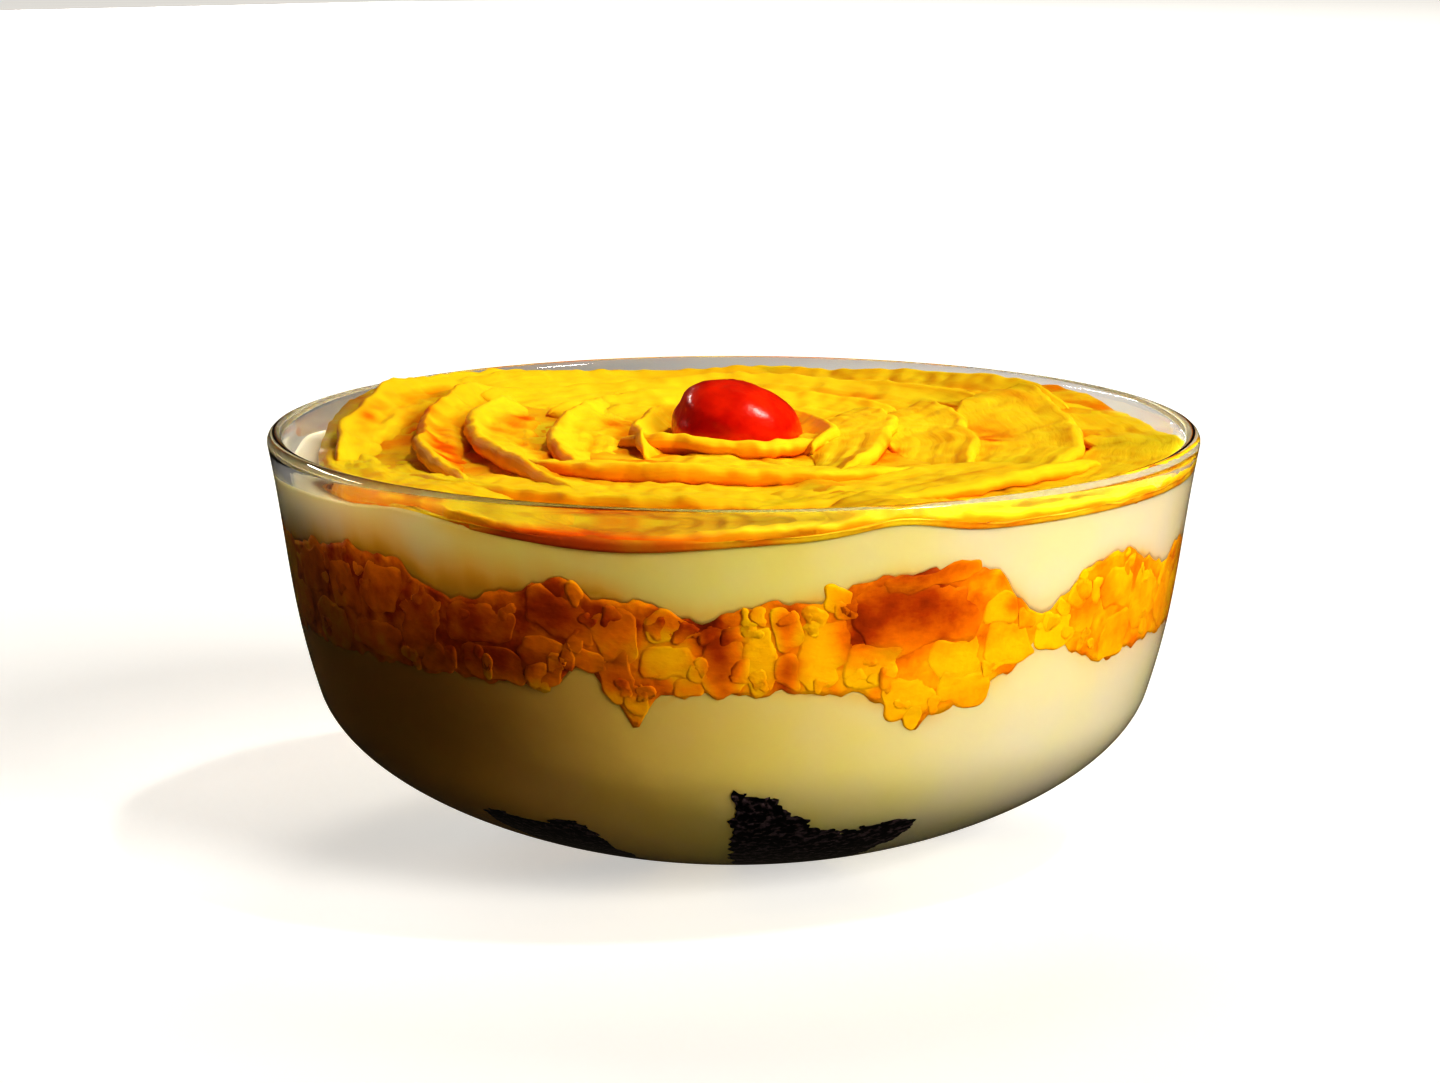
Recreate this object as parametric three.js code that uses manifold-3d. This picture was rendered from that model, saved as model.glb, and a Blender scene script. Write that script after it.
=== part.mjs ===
// Mango trifle in a round glass bowl: cake pieces, custard cream, a mango layer, more cream,
// a rose of mango slices and a cherry. Millimetres, +Z up, origin under the middle of the base.
import * as THREE from 'three';
import { mergeVertices } from 'three/addons/utils/BufferGeometryUtils.js';
import Module from 'manifold-3d';

// ---------- driving dimensions ----------
const BOWL = {
  height: 64.6, // up to the rounded lip
  rimRadius: 75,
  bellyRadius: 67.2, // where the round belly turns into the flaring side
  bellyHeight: 24.7,
  footRadius: 24.6, // the flat that the bowl stands on
  footEase: 4.9, // how far the flat runs on before the belly rises
  bellyPull: 16.8, // fullness of the belly below its turn
  sideLean: 0.317, // outward lean of the side at the turn
  sideFullness: 0.4, // share of the side's rise over which it keeps that lean
  wall: 2.6,
};
const CLEARANCE = 0.3; // between any two pieces
const CAKE_CLEARANCE = 0.5;
const PAST_WALL = 3; // how far a cutting shape goes through the bowl's wall
const AROUND = 52; // facets around the bowl and everything in it
const JOIN_WITHIN = 1e-4; // corners closer than this are one
// Rings of a layer's surface, as shares of the bowl's inner radius
const MANGO_SHARES = [0.45, 0.72, 0.88, 1];
const CREAM_SHARES = [0.09, 0.18, 0.3, 0.72, 1];

// Heights of the surfaces between the layers, measured at the wall
const LEVEL = { cake: 15.4, mangoBottom: 37.8, mangoTop: 51.5, creamTop: 61.9, rose: 65.7 };

// A wave lifts a layer's edge by `rise` around the angle `at`, fading over `spread` degrees.
// Angles start at the front (-Y) and grow towards +X.
const MANGO_BOTTOM_WAVES = [
  { at: -19, spread: 3.5, rise: 3.4 },
  { at: -11, spread: 3.5, rise: -5.2 },
  { at: 25, spread: 7, rise: -6.2 },
  { at: 44, spread: 5, rise: 5.2 },
  { at: 55, spread: 4, rise: -1.8 },
];
const MANGO_TOP_WAVES = [
  { at: -66, spread: 5, rise: 1.4 },
  { at: -52, spread: 9, rise: 3.8 },
  { at: -37, spread: 5, rise: -1.8 },
  { at: -22, spread: 4.5, rise: 3.2 },
  { at: -4, spread: 4, rise: -3.3 },
  { at: 18, spread: 6, rise: 4.2 },
  { at: 30, spread: 6, rise: 4.2 },
  { at: 41, spread: 5, rise: -5 },
  { at: 55, spread: 6, rise: 2.6 },
  { at: 69, spread: 4, rise: -2.4 },
];
const CREAM_TOP_WAVES = [
  { at: -43, spread: 8, rise: 1 },
  { at: -13, spread: 16, rise: -2 },
  { at: 20, spread: 7, rise: 1.6 },
  { at: -90, spread: 18, rise: -1.4 },
];
// The part of the ring without waves of its own gets them by rule
const HIDDEN_SIDE = { from: 88, to: 282, step: 17, spread: 6, perDegree: 0.11 };
const HIDDEN_WAVES = {
  mangoBottom: { rise: 4, phase: 0.4 },
  mangoTop: { rise: 3.6, phase: 2.1 },
  creamTop: { rise: 1.2, phase: 4 },
};
const WAVE_FADE = 4; // the higher, the closer to the wall a layer's waves stay
const DEEPEST_DRIP = 9; // no mango hangs farther than this into the lower cream

// Cake pieces by their first and last angle
const CAKES = [
  { from: -43, to: -23 },
  { from: 0, to: 29.5 },
  { from: 74, to: 101 },
  { from: 112, to: 138 },
  { from: 161, to: 190 },
  { from: 214, to: 243 },
  { from: 262, to: 288 },
];
const CAKE = {
  innerRadius: 13,
  peak: 8.4, // the corner that stands up at every other piece's first side
  peakRun: 0.44, // share of the piece over which that corner falls away
  topDrop: 1.5, // the top lies this much below its edge on the wall
  // Unevenness: how much, and how it turns over from piece to piece and along a piece
  top: { rise: 0.8, perPiece: 5.29, perStep: 1.9 },
  inner: { rise: 2.5, perPiece: 1.7, perStep: 1.3 },
  sag: { rise: 1.4, perPiece: 1, perStep: 1, inwards: 5 },
};

const ROSE = {
  rings: 3, // rings of mango slices inside the outermost one
  firstRadius: 15, // crest of the ring that holds the cherry
  ringPitch: 22,
  slicesInside: 3, // slices in the first ring, one more in each ring outside it
  turnPerRing: 47, // degrees that a ring is turned against the one inside it
  splay: 4, // how far a slice swings out from its first to its last end
  crest: 2.7, // height of a slice's edge over the fold outside it
  foldWidth: 1.3,
  tilt: 0.0187, // the far side lies higher
  domeRise: 1, // the middle over the edge
  brow: 5, // from the wall to where the outermost slices turn down
  browDrop: 1,
  edgeDrop: 3.2,
  thinnest: 1, // least depth of a slice over the cream
  gaps: [
    { at: -90, spread: 33, rise: 5.9 },
    { at: 118, spread: 24, rise: 3.4 },
  ],
  // where its edge is heaped higher or lower
  swells: [
    { at: -116, spread: 20, rise: 2.9 },
    { at: 126, spread: 16, rise: 2.2 },
    { at: -163, spread: 12, rise: -0.5 },
  ],
  swellStart: 0.85, // share of the rose's radius inside which a swell dies away
  dip: 7.4, // depth of the well in the cream under the cherry
  dipRadius: 13,
  dipEase: 1.6, // the dip has run out at this many times its radius
  wallGap: 0.2, // between the rose and the contents' outline
};
const CHERRY = {
  radiusX: 10.8,
  radiusY: 9.8,
  radiusZ: 8.6,
  x: 0.5,
  y: 0,
  z: 65.3,
  lean: 0.2, // to the left, for each millimetre up
  dimple: 2,
  dimpleWidth: 0.035,
  facetsAround: 20,
  facetsUp: 12,
};
const CHERRY_DIMPLE_SIDE = new THREE.Vector3(0.35, 0.85, 0.4).normalize(); // where its stalk was

// ---------- helpers ----------
const radians = (degrees) => (degrees * Math.PI) / 180;
const smooth = (t) => t * t * (3 - 2 * t);
const clamp01 = (t) => Math.min(1, Math.max(0, t));
const wrap = (degrees) => ((degrees + 540) % 360) - 180;

// Point at an angle from the front, a radius and a height
function place(angle, radius, z) {
  return new THREE.Vector3(radius * Math.sin(radians(angle)), -radius * Math.cos(radians(angle)), z);
}

const ringAngles = Array.from({ length: AROUND }, (_, i) => (i * 360) / AROUND);

// ---------- the bowl's section ----------
function outerProfile(bellySteps, sideSteps) {
  const lean = new THREE.Vector2(BOWL.sideLean, 1).normalize();
  const foot = new THREE.Vector2(BOWL.footRadius, 0);
  const turn = new THREE.Vector2(BOWL.bellyRadius, BOWL.bellyHeight);
  const rim = new THREE.Vector2(BOWL.rimRadius, BOWL.height);
  const sideRise = rim.y - turn.y;
  const sidePull = sideRise * BOWL.sideFullness;
  const belly = new THREE.CubicBezierCurve(
    foot,
    new THREE.Vector2(BOWL.footRadius + BOWL.footEase, 0),
    turn.clone().addScaledVector(lean, -BOWL.bellyPull),
    turn,
  );
  const side = new THREE.CubicBezierCurve(
    turn,
    turn.clone().addScaledVector(lean, sidePull),
    new THREE.Vector2(rim.x - ((rim.x - turn.x) / sideRise) * sidePull, rim.y - sidePull),
    rim,
  );
  return [...belly.getPoints(bellySteps), ...side.getPoints(sideSteps).slice(1)];
}

// The same section moved inwards by the wall
function inset(profile, distance) {
  return profile.map((point, i) => {
    const before = profile[Math.max(0, i - 1)];
    const after = profile[Math.min(profile.length - 1, i + 1)];
    const along = i === 0 ? new THREE.Vector2(1, 0) : after.clone().sub(before).normalize();
    return new THREE.Vector2(point.x - along.y * distance, point.y + along.x * distance);
  });
}

const BELLY_STEPS = 8;
const SIDE_STEPS = 3;
const outside = outerProfile(BELLY_STEPS, SIDE_STEPS);
const inside = inset(outside, BOWL.wall);

// Radius that the contents reach at a height: the bowl's inner section less the clearance
const wallSection = inset(outside, BOWL.wall + CLEARANCE);

function wallRadius(z) {
  for (let i = 1; i < wallSection.length; i += 1) {
    const low = wallSection[i - 1];
    const high = wallSection[i];
    if (z <= high.y) return low.x + ((high.x - low.x) * (z - low.y)) / (high.y - low.y);
  }
  return wallSection.at(-1).x;
}

// ---------- solids ----------
// Two triangles from a quad, along its shorter diagonal, so that facing surfaces split alike
function splitQuad([a, b, c, d], points) {
  const acrossB = points[b].distanceTo(points[d]) < points[a].distanceTo(points[c]);
  return acrossB ? [a, b, d, b, c, d] : [a, b, c, a, c, d];
}

// Closed solid from rings of equal length, from the first pole up the outside to the last pole
function ringStack(rings, firstPole, lastPole) {
  const count = rings[0].length;
  const points = [firstPole, ...rings.flat(), lastPole];
  const index = [];
  const at = (ring, i) => 1 + ring * count + (i % count);
  const last = points.length - 1;
  for (let i = 0; i < count; i += 1) {
    index.push(0, at(0, i + 1), at(0, i));
    index.push(last, at(rings.length - 1, i), at(rings.length - 1, i + 1));
    for (let ring = 1; ring < rings.length; ring += 1) {
      const corners = [at(ring - 1, i), at(ring - 1, i + 1), at(ring, i + 1), at(ring, i)];
      index.push(...splitQuad(corners, points));
    }
  }
  const geometry = new THREE.BufferGeometry().setFromPoints(points);
  geometry.setIndex(index);
  return geometry;
}

// Rings of a surface whose edge follows the wall, from the first share of the radius to the last
function surfaceRings(height, edge, shares) {
  return shares.map((share) =>
    ringAngles.map((angle) => {
      const rim = edge(angle, height(angle, 1));
      return place(angle, rim * share, height(angle, share));
    }),
  );
}

// Rings up the side of a layer, between the edge of its lower and of its upper surface
function sideRings(lower, upper, edge, steps) {
  return Array.from({ length: steps }, (_, k) =>
    ringAngles.map((angle) => {
      const share = (k + 1) / (steps + 1);
      const z = THREE.MathUtils.lerp(lower(angle, 1), upper(angle, 1), share);
      return place(angle, edge(angle, z), z);
    }),
  );
}

const wasm = await Module();
wasm.setup();

function toManifold(geometry) {
  const bare = geometry.clone();
  bare.deleteAttribute('normal');
  bare.deleteAttribute('uv');
  const merged = mergeVertices(bare, JOIN_WITHIN);
  return new wasm.Manifold(
    new wasm.Mesh({
      numProp: 3,
      vertProperties: new Float32Array(merged.attributes.position.array),
      triVerts: new Uint32Array(merged.index.array),
    }),
  );
}

function toGeometry(manifold) {
  const mesh = manifold.getMesh();
  const geometry = new THREE.BufferGeometry();
  geometry.setAttribute('position', new THREE.BufferAttribute(new Float32Array(mesh.vertProperties), 3));
  geometry.setIndex(new THREE.BufferAttribute(new Uint32Array(mesh.triVerts), 1));
  return geometry;
}

function subtract(body, tools) {
  let solid = toManifold(body);
  for (const tool of tools) solid = solid.subtract(toManifold(tool));
  return toGeometry(solid);
}

// ---------- surfaces between the layers ----------
// Waves for the side that has none of its own, made by rule
function hiddenWaves({ rise, phase }) {
  const waves = [];
  for (let at = HIDDEN_SIDE.from; at <= HIDDEN_SIDE.to; at += HIDDEN_SIDE.step) {
    waves.push({ at, spread: HIDDEN_SIDE.spread, rise: rise * Math.sin(at * HIDDEN_SIDE.perDegree + phase) });
  }
  return waves;
}

function waveSum(waves, angle) {
  return waves.reduce((sum, wave) => {
    const away = wrap(angle - wave.at) / wave.spread;
    return sum + wave.rise * Math.exp(-away * away);
  }, 0);
}

// A layer surface: level in the middle, its waves growing towards the wall
function layerSurface(level, waves) {
  return (angle, share) => level + waveSum(waves, angle) * share ** WAVE_FADE;
}

const mangoBottomWaves = [...MANGO_BOTTOM_WAVES, ...hiddenWaves(HIDDEN_WAVES.mangoBottom)];
const mangoTopWaves = [...MANGO_TOP_WAVES, ...hiddenWaves(HIDDEN_WAVES.mangoTop)];
const creamTopWaves = [...CREAM_TOP_WAVES, ...hiddenWaves(HIDDEN_WAVES.creamTop)];
const mangoBottom = layerSurface(LEVEL.mangoBottom, mangoBottomWaves);
const mangoTop = layerSurface(LEVEL.mangoTop, mangoTopWaves);
const creamEdge = layerSurface(LEVEL.creamTop, creamTopWaves);

// The upper cream is pressed down under the cherry
function creamTop(angle, share) {
  const fromMiddle = (share * wallRadius(LEVEL.creamTop)) / ROSE.dipRadius;
  return creamEdge(angle, share) - ROSE.dip * smooth(clamp01(ROSE.dipEase - fromMiddle));
}

const raised = (surface, by) => (angle, share) => surface(angle, share) + by;
const fullWidth = (angle, z) => wallRadius(z);

// ---------- pieces ----------
function bowlGeometry() {
  const LIP_STEPS = 3;
  const outerRim = outside.at(-1);
  const innerRim = inside.at(-1);
  const lipCentre = outerRim.clone().add(innerRim).multiplyScalar(0.5);
  const lipStart = Math.atan2(outerRim.y - lipCentre.y, outerRim.x - lipCentre.x);
  const lip = Array.from({ length: LIP_STEPS - 1 }, (_, k) => {
    const turn = lipStart + (Math.PI * (k + 1)) / LIP_STEPS;
    const radius = BOWL.wall / 2;
    return new THREE.Vector2(
      lipCentre.x + radius * Math.cos(turn),
      Math.min(lipCentre.y + radius * Math.sin(turn), BOWL.height + radius),
    );
  });
  const section = [new THREE.Vector2(0, 0), ...outside, ...lip, ...[...inside].reverse()];
  section.push(new THREE.Vector2(0, BOWL.wall));
  return new THREE.LatheGeometry(section, AROUND).rotateX(Math.PI / 2);
}

// A layer that fills the bowl between two surfaces, half the clearance away from each
function layerGeometry(lower, upper, lowerShares, upperShares) {
  const floor = raised(lower, CLEARANCE / 2);
  const top = raised(upper, -CLEARANCE / 2);
  const rings = [
    ...surfaceRings(floor, fullWidth, lowerShares),
    ...sideRings(floor, top, fullWidth, 1),
    ...surfaceRings(top, fullWidth, [...upperShares].reverse()),
  ];
  return ringStack(rings, place(0, 0, floor(0, 0)), place(0, 0, top(0, 0)));
}

function lowerCreamGeometry() {
  const top = raised(mangoBottom, -CLEARANCE / 2);
  const lowest = LEVEL.mangoBottom - DEEPEST_DRIP;
  const section = wallSection.filter((point) => point.y < lowest);
  const shell = section.map((point) => ringAngles.map((angle) => place(angle, point.x, point.y)));
  const rings = [...shell, ...surfaceRings(top, fullWidth, [...MANGO_SHARES].reverse())];
  return ringStack(rings, place(0, 0, section[0].y), place(0, 0, top(0, 0)));
}

// Cake piece: a section that rests on the wall, carried through its angles.
// To cut its place out of the cream it swells by `grow`, and goes past the wall by `past`.
function cakeGeometry(cake, number, grow, past) {
  const ALONG = 5;
  const swell = THREE.MathUtils.radToDeg(grow / CAKE.innerRadius);
  const stations = Array.from({ length: ALONG + 1 }, (_, i) => ({ step: i, swell: 0 }));
  if (grow > 0) {
    stations.unshift({ step: 0, swell: -swell });
    stations.push({ step: ALONG, swell });
  }
  const sections = stations.map((station) => {
    const share = station.step / ALONG;
    const angle = THREE.MathUtils.lerp(cake.from, cake.to, share) + station.swell;
    return cakeSection(angle, share, station.step, number, grow, past);
  });
  return closedSweep(sections);
}

function cakeSection(angle, share, step, number, grow, past) {
  const ON_WALL = 4;
  const ON_TOP = 3;
  const uneven = (wave, more) => wave.rise * Math.sin(number * wave.perPiece + step * wave.perStep + more);
  const peak = CAKE.peak * Math.max(0, 1 - share / CAKE.peakRun) * (number % 2);
  const top = LEVEL.cake + peak + uneven(CAKE.top, 0) + grow;
  const inner = CAKE.innerRadius + uneven(CAKE.inner, 0) - grow;
  const floor = wallSection[0].y;
  const section = [place(angle, inner, floor - past)];
  for (let k = 0; k <= ON_WALL; k += 1) {
    const z = THREE.MathUtils.lerp(floor, top, k / ON_WALL);
    const below = past * (1 - k / ON_WALL);
    section.push(place(angle, wallRadius(z) + Math.max(below, past / 3), z - below));
  }
  for (let k = 1; k <= ON_TOP; k += 1) {
    const inwards = k / ON_TOP;
    const sag = uneven(CAKE.sag, inwards * CAKE.sag.inwards) - CAKE.topDrop;
    section.push(place(angle, THREE.MathUtils.lerp(wallRadius(top), inner, inwards), top + sag));
  }
  return section;
}

// Closed solid from sections of equal length, with both ends capped
function closedSweep(sections) {
  const count = sections[0].length;
  const points = sections.flat();
  const index = [];
  for (let s = 1; s < sections.length; s += 1) {
    for (let i = 0; i < count; i += 1) {
      const j = (i + 1) % count;
      const near = (s - 1) * count;
      const far = s * count;
      index.push(near + i, far + j, near + j);
      index.push(near + i, far + i, far + j);
    }
  }
  const lastStart = (sections.length - 1) * count;
  for (let i = 1; i < count - 1; i += 1) {
    index.push(0, i, i + 1);
    index.push(lastStart, lastStart + i + 1, lastStart + i);
  }
  const geometry = new THREE.BufferGeometry().setFromPoints(points);
  geometry.setIndex(index);
  return geometry;
}

// Reach of the rose: it leaves the wall where it has a gap
function roseEdge(angle, z) {
  return wallRadius(Math.min(z, BOWL.height)) - waveSum(ROSE.gaps, angle) - ROSE.wallGap;
}

// Where a slice's crest runs, and how far along the slice an angle is, in ring `k`
function sliceCrest(k, angle) {
  const slices = ROSE.slicesInside + k;
  const turn = ((angle + k * ROSE.turnPerRing + 360) * slices) / 360;
  const along = turn - Math.floor(turn);
  const nominal = ROSE.firstRadius + k * ROSE.ringPitch;
  const shrink = roseEdge(angle, LEVEL.rose) / wallRadius(LEVEL.rose);
  return { radius: (nominal + ROSE.splay * (along - 0.5)) * shrink, along };
}

// Height of the slices' edges over the whole rose, before the folds between them
function roseHeight(angle, radius) {
  const outwards = radius / wallRadius(LEVEL.rose);
  const behind = -Math.cos(radians(angle)) * radius;
  const swell = waveSum(ROSE.swells, angle) * clamp01(outwards / ROSE.swellStart) ** 3;
  return LEVEL.rose + ROSE.domeRise * (1 - outwards ** 2) + ROSE.tilt * behind + swell;
}

// Rings of the rose's top, from its edge to the middle: each crest with the fold outside it
function roseTopRings() {
  const edge = [];
  const brow = [];
  for (const angle of ringAngles) {
    const reach = roseEdge(angle, LEVEL.rose);
    const height = roseHeight(angle, reach);
    const cream = creamTop(angle, 1);
    const edgeZ = Math.max(height - ROSE.edgeDrop, cream + ROSE.thinnest);
    const browZ = Math.max(height - ROSE.browDrop, cream + ROSE.thinnest * 2);
    edge.push(place(angle, roseEdge(angle, edgeZ), edgeZ));
    brow.push(place(angle, reach - ROSE.brow, browZ));
  }
  const rings = [edge, brow];
  for (let k = ROSE.rings - 1; k >= 0; k -= 1) {
    const folds = [];
    const crests = [];
    for (const angle of ringAngles) {
      const { radius, along } = sliceCrest(k, angle);
      const z = roseHeight(angle, radius);
      folds.push(place(angle, radius + ROSE.foldWidth, z - ROSE.crest * Math.sqrt(Math.sin(Math.PI * along))));
      crests.push(place(angle, radius, z));
    }
    rings.push(folds, crests);
  }
  return rings;
}

function roseGeometry() {
  const under = raised(creamTop, CLEARANCE / 2);
  const rings = [...surfaceRings(under, roseEdge, CREAM_SHARES), ...roseTopRings()];
  const middle = place(0, 0, LEVEL.rose - ROSE.crest);
  return ringStack(rings, place(0, 0, under(0, 0)), middle);
}

function cherryGeometry(grow) {
  const sphere = new THREE.SphereGeometry(1, CHERRY.facetsAround, CHERRY.facetsUp);
  const position = sphere.attributes.position;
  const point = new THREE.Vector3();
  for (let i = 0; i < position.count; i += 1) {
    point.fromBufferAttribute(position, i).set(point.x, -point.z, point.y);
    const nearDimple = Math.exp(-(1 - point.dot(CHERRY_DIMPLE_SIDE)) / CHERRY.dimpleWidth);
    const pull = grow > 0 ? 0 : CHERRY.dimple * nearDimple;
    const rise = point.z * (CHERRY.radiusZ + grow - pull);
    position.setXYZ(
      i,
      CHERRY.x + point.x * (CHERRY.radiusX + grow - pull) - CHERRY.lean * rise,
      CHERRY.y + point.y * (CHERRY.radiusY + grow - pull),
      CHERRY.z + rise,
    );
  }
  return sphere;
}

// ---------- the object ----------
const finish = (color, roughness, options = {}) =>
  new THREE.MeshStandardMaterial({ color, roughness, metalness: 0, ...options });
const FINISH = {
  glass: finish(0xeef2f4, 0.05, { transparent: true, opacity: 0.25 }),
  cake: finish(0x1c120d, 0.9),
  cream: finish(0xeadc9c, 0.45),
  mango: finish(0xf09010, 0.35),
  rose: finish(0xf8b914, 0.35),
  cherry: finish(0xc41405, 0.12),
};

const trifle = new THREE.Group();

function addPiece(name, geometry, material) {
  const mesh = new THREE.Mesh(geometry, material.clone());
  mesh.name = name;
  trifle.add(mesh);
}

const cakeCuts = CAKES.map((cake, k) => cakeGeometry(cake, k, CAKE_CLEARANCE, PAST_WALL));

addPiece('bowl', bowlGeometry(), FINISH.glass);
CAKES.forEach((cake, k) => addPiece(`cake_${k + 1}`, cakeGeometry(cake, k, 0, 0), FINISH.cake));
addPiece('cream_lower', subtract(lowerCreamGeometry(), cakeCuts), FINISH.cream);
addPiece('mango_layer', layerGeometry(mangoBottom, mangoTop, MANGO_SHARES, MANGO_SHARES), FINISH.mango);
addPiece('cream_upper', layerGeometry(mangoTop, creamTop, MANGO_SHARES, CREAM_SHARES), FINISH.cream);
addPiece('mango_rose', subtract(roseGeometry(), [cherryGeometry(CLEARANCE)]), FINISH.rose);
addPiece('cherry', cherryGeometry(0), FINISH.cherry);

export default trifle;
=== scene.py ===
"""Mango trifle in a glass bowl: glass, cake, cream, diced mango, a rose of mango slices and a cherry."""

import math

import bpy
import numpy as np
from bpy.props import FloatProperty, FloatVectorProperty, PointerProperty
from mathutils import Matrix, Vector


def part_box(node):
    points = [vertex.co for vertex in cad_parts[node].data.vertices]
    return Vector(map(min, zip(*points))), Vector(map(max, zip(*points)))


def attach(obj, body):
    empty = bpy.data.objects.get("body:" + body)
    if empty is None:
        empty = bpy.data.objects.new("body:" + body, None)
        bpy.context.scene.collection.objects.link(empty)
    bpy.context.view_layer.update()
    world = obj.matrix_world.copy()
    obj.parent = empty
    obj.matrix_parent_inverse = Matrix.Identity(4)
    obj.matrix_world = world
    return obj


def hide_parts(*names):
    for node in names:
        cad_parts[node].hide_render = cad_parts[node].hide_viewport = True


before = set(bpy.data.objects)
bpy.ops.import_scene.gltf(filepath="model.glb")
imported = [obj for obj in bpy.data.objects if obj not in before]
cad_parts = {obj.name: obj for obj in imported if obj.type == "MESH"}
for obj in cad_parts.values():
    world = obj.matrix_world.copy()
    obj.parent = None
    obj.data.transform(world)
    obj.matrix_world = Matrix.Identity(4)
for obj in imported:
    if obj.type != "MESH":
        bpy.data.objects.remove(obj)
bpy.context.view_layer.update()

bl_info = {
    "name": "Mango trifle",
    "version": (1, 0, 0),
    "blender": (4, 5, 0),
    "location": "View3D > Sidebar > Trifle",
    "description": "Builds the glass bowl and everything in it, one button for each piece",
    "category": "Add Mesh",
}

MM = 0.001
BODY = "root"
CHERRY_LOW, CHERRY_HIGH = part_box("cherry")
CAKE_NODES = sorted(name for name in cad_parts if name.startswith("cake_"))


def paint(red, green, blue):
    """Linear colour with alpha from a screen colour in 0 to 255."""
    parts = [value / 255 for value in (red, green, blue)]
    linear = [p / 12.92 if p <= 0.04045 else ((p + 0.055) / 1.055) ** 2.4 for p in parts]
    return (*linear, 1.0)


def length(label, text, value):
    """A length property whose default is in millimetres."""
    return FloatProperty(name=label, description=text, default=value * MM, min=0, unit="LENGTH", precision=5)


def colour(label, text, value):
    """A colour property."""
    return FloatVectorProperty(
        name=label, description=text, default=value, size=4, subtype="COLOR", min=0, max=1
    )


def amount(label, text, value):
    """A plain number property."""
    return FloatProperty(name=label, description=text, default=value)


def watts(label, text, value):
    """A lamp's power property."""
    return FloatProperty(name=label, description=text, default=value, unit="POWER")


# ---------------------------------------------------------------- settings


class BowlSettings(bpy.types.PropertyGroup):
    """Section of the bowl, from its foot to its rim."""

    rim_radius: length("Rim radius", "Outer radius at the rim", 75)
    height: length("Height", "Height up to the rounded lip", 64.6)
    belly_radius: length("Belly radius", "Radius where the belly turns into the side", 67.2)
    belly_height: length("Belly height", "Height where the belly turns into the side", 24.7)
    foot_radius: length("Foot radius", "Flat that the bowl stands on", 24.6)
    foot_ease: length("Foot ease", "How far the flat runs on before the belly rises", 4.9)
    belly_pull: length("Belly pull", "Fullness of the belly below its turn", 16.8)
    side_lean: amount("Side lean", "Outward lean of the side at the turn", 0.317)
    wall: length("Wall", "Thickness of the glass", 2.6)
    press: length("Press", "How far the contents reach into the wall", 0.3)
    tint: colour("Tint", "Colour that thick glass takes on", paint(176, 172, 178))
    density: amount("Density", "How fast it takes on that colour", 22.0)


class CreamSettings(bpy.types.PropertyGroup):
    """The two layers of custard cream."""

    mango_bottom: length("Mango bottom", "Level of the lower cream", 37.8)
    mango_top: length("Mango top", "Level of the mango layer", 51.5)
    cream_top: length("Cream top", "Level of the upper cream", 61.6)
    pale: colour("Pale", "Colour of the cream", paint(226, 217, 196))
    custard: colour("Custard", "Colour where the custard is thicker", paint(230, 223, 138))
    stain: colour("Stain", "Colour of mango juice in the cream", paint(240, 178, 60))
    # soaked: juice colour that also paints the shade at the left of the cream
    soaked: colour("Soaked", "Colour where the cream is soaked with juice", paint(196, 156, 50))


class MangoSettings(bpy.types.PropertyGroup):
    """Ripe mango, diced and sliced."""

    yellow: colour("Yellow", "Ripe flesh", paint(255, 196, 14))
    orange: colour("Orange", "Riper flesh", paint(244, 144, 4))
    amber: colour("Amber", "Flesh full of juice", paint(180, 76, 4))
    brown: colour("Brown", "Overripe flesh", paint(128, 46, 6))
    juice: colour("Juice", "Juice and pulp between the pieces", paint(222, 108, 0))
    slice_face: colour("Slice face", "Cut face of a slice", paint(255, 218, 44))
    # this colour also paints the shade in the rose's hollows and under its turned-down slices
    slice_ripe_and_shade: colour("Slice ripe", "Riper strokes in the slices", paint(226, 104, 2))
    # this colour also paints the shade in the slices' folds and on slopes facing away from the key light; in
    # the pulp it is a random tone
    slice_deep: colour("Slice deep", "Deeper orange in the folds", paint(242, 146, 6))


class RoseSettings(bpy.types.PropertyGroup):
    """The rose of mango slices."""

    level: length("Level", "Height of the slices' crests", 65.7)
    dome: length("Dome", "The middle over the edge", 1)
    tilt: amount("Tilt", "Rise towards the far side", 0.0187)
    thickness: length("Thickness", "Thickness of a slice at its crest", 2.9)
    fold: length("Fold", "How sharply a slice falls behind its crest", 3.6)
    edge_fall: length("Edge fall", "How far the outermost slices lie below the others", 1.5)


class CherrySettings(bpy.types.PropertyGroup):
    """The cherry in the middle of the rose."""

    skin: colour("Skin", "Red of the skin", paint(240, 54, 8))
    deep: colour("Deep", "Darker red in the folds", paint(196, 14, 4))
    dimple: length("Dimple", "Depth of the dimple where the stalk was", 2.2)
    lean: amount("Lean", "How far it leans to the left", 0.2)


class CakeSettings(bpy.types.PropertyGroup):
    """Dark cake at the bottom of the bowl."""

    crumb: colour("Crumb", "Colour of the crumb", paint(104, 86, 90))
    dark: colour("Dark", "Colour of its pores", paint(5, 3, 5))
    voxel: length("Crumb mesh", "Fineness of the crumb's surface", 0.6)


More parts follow.
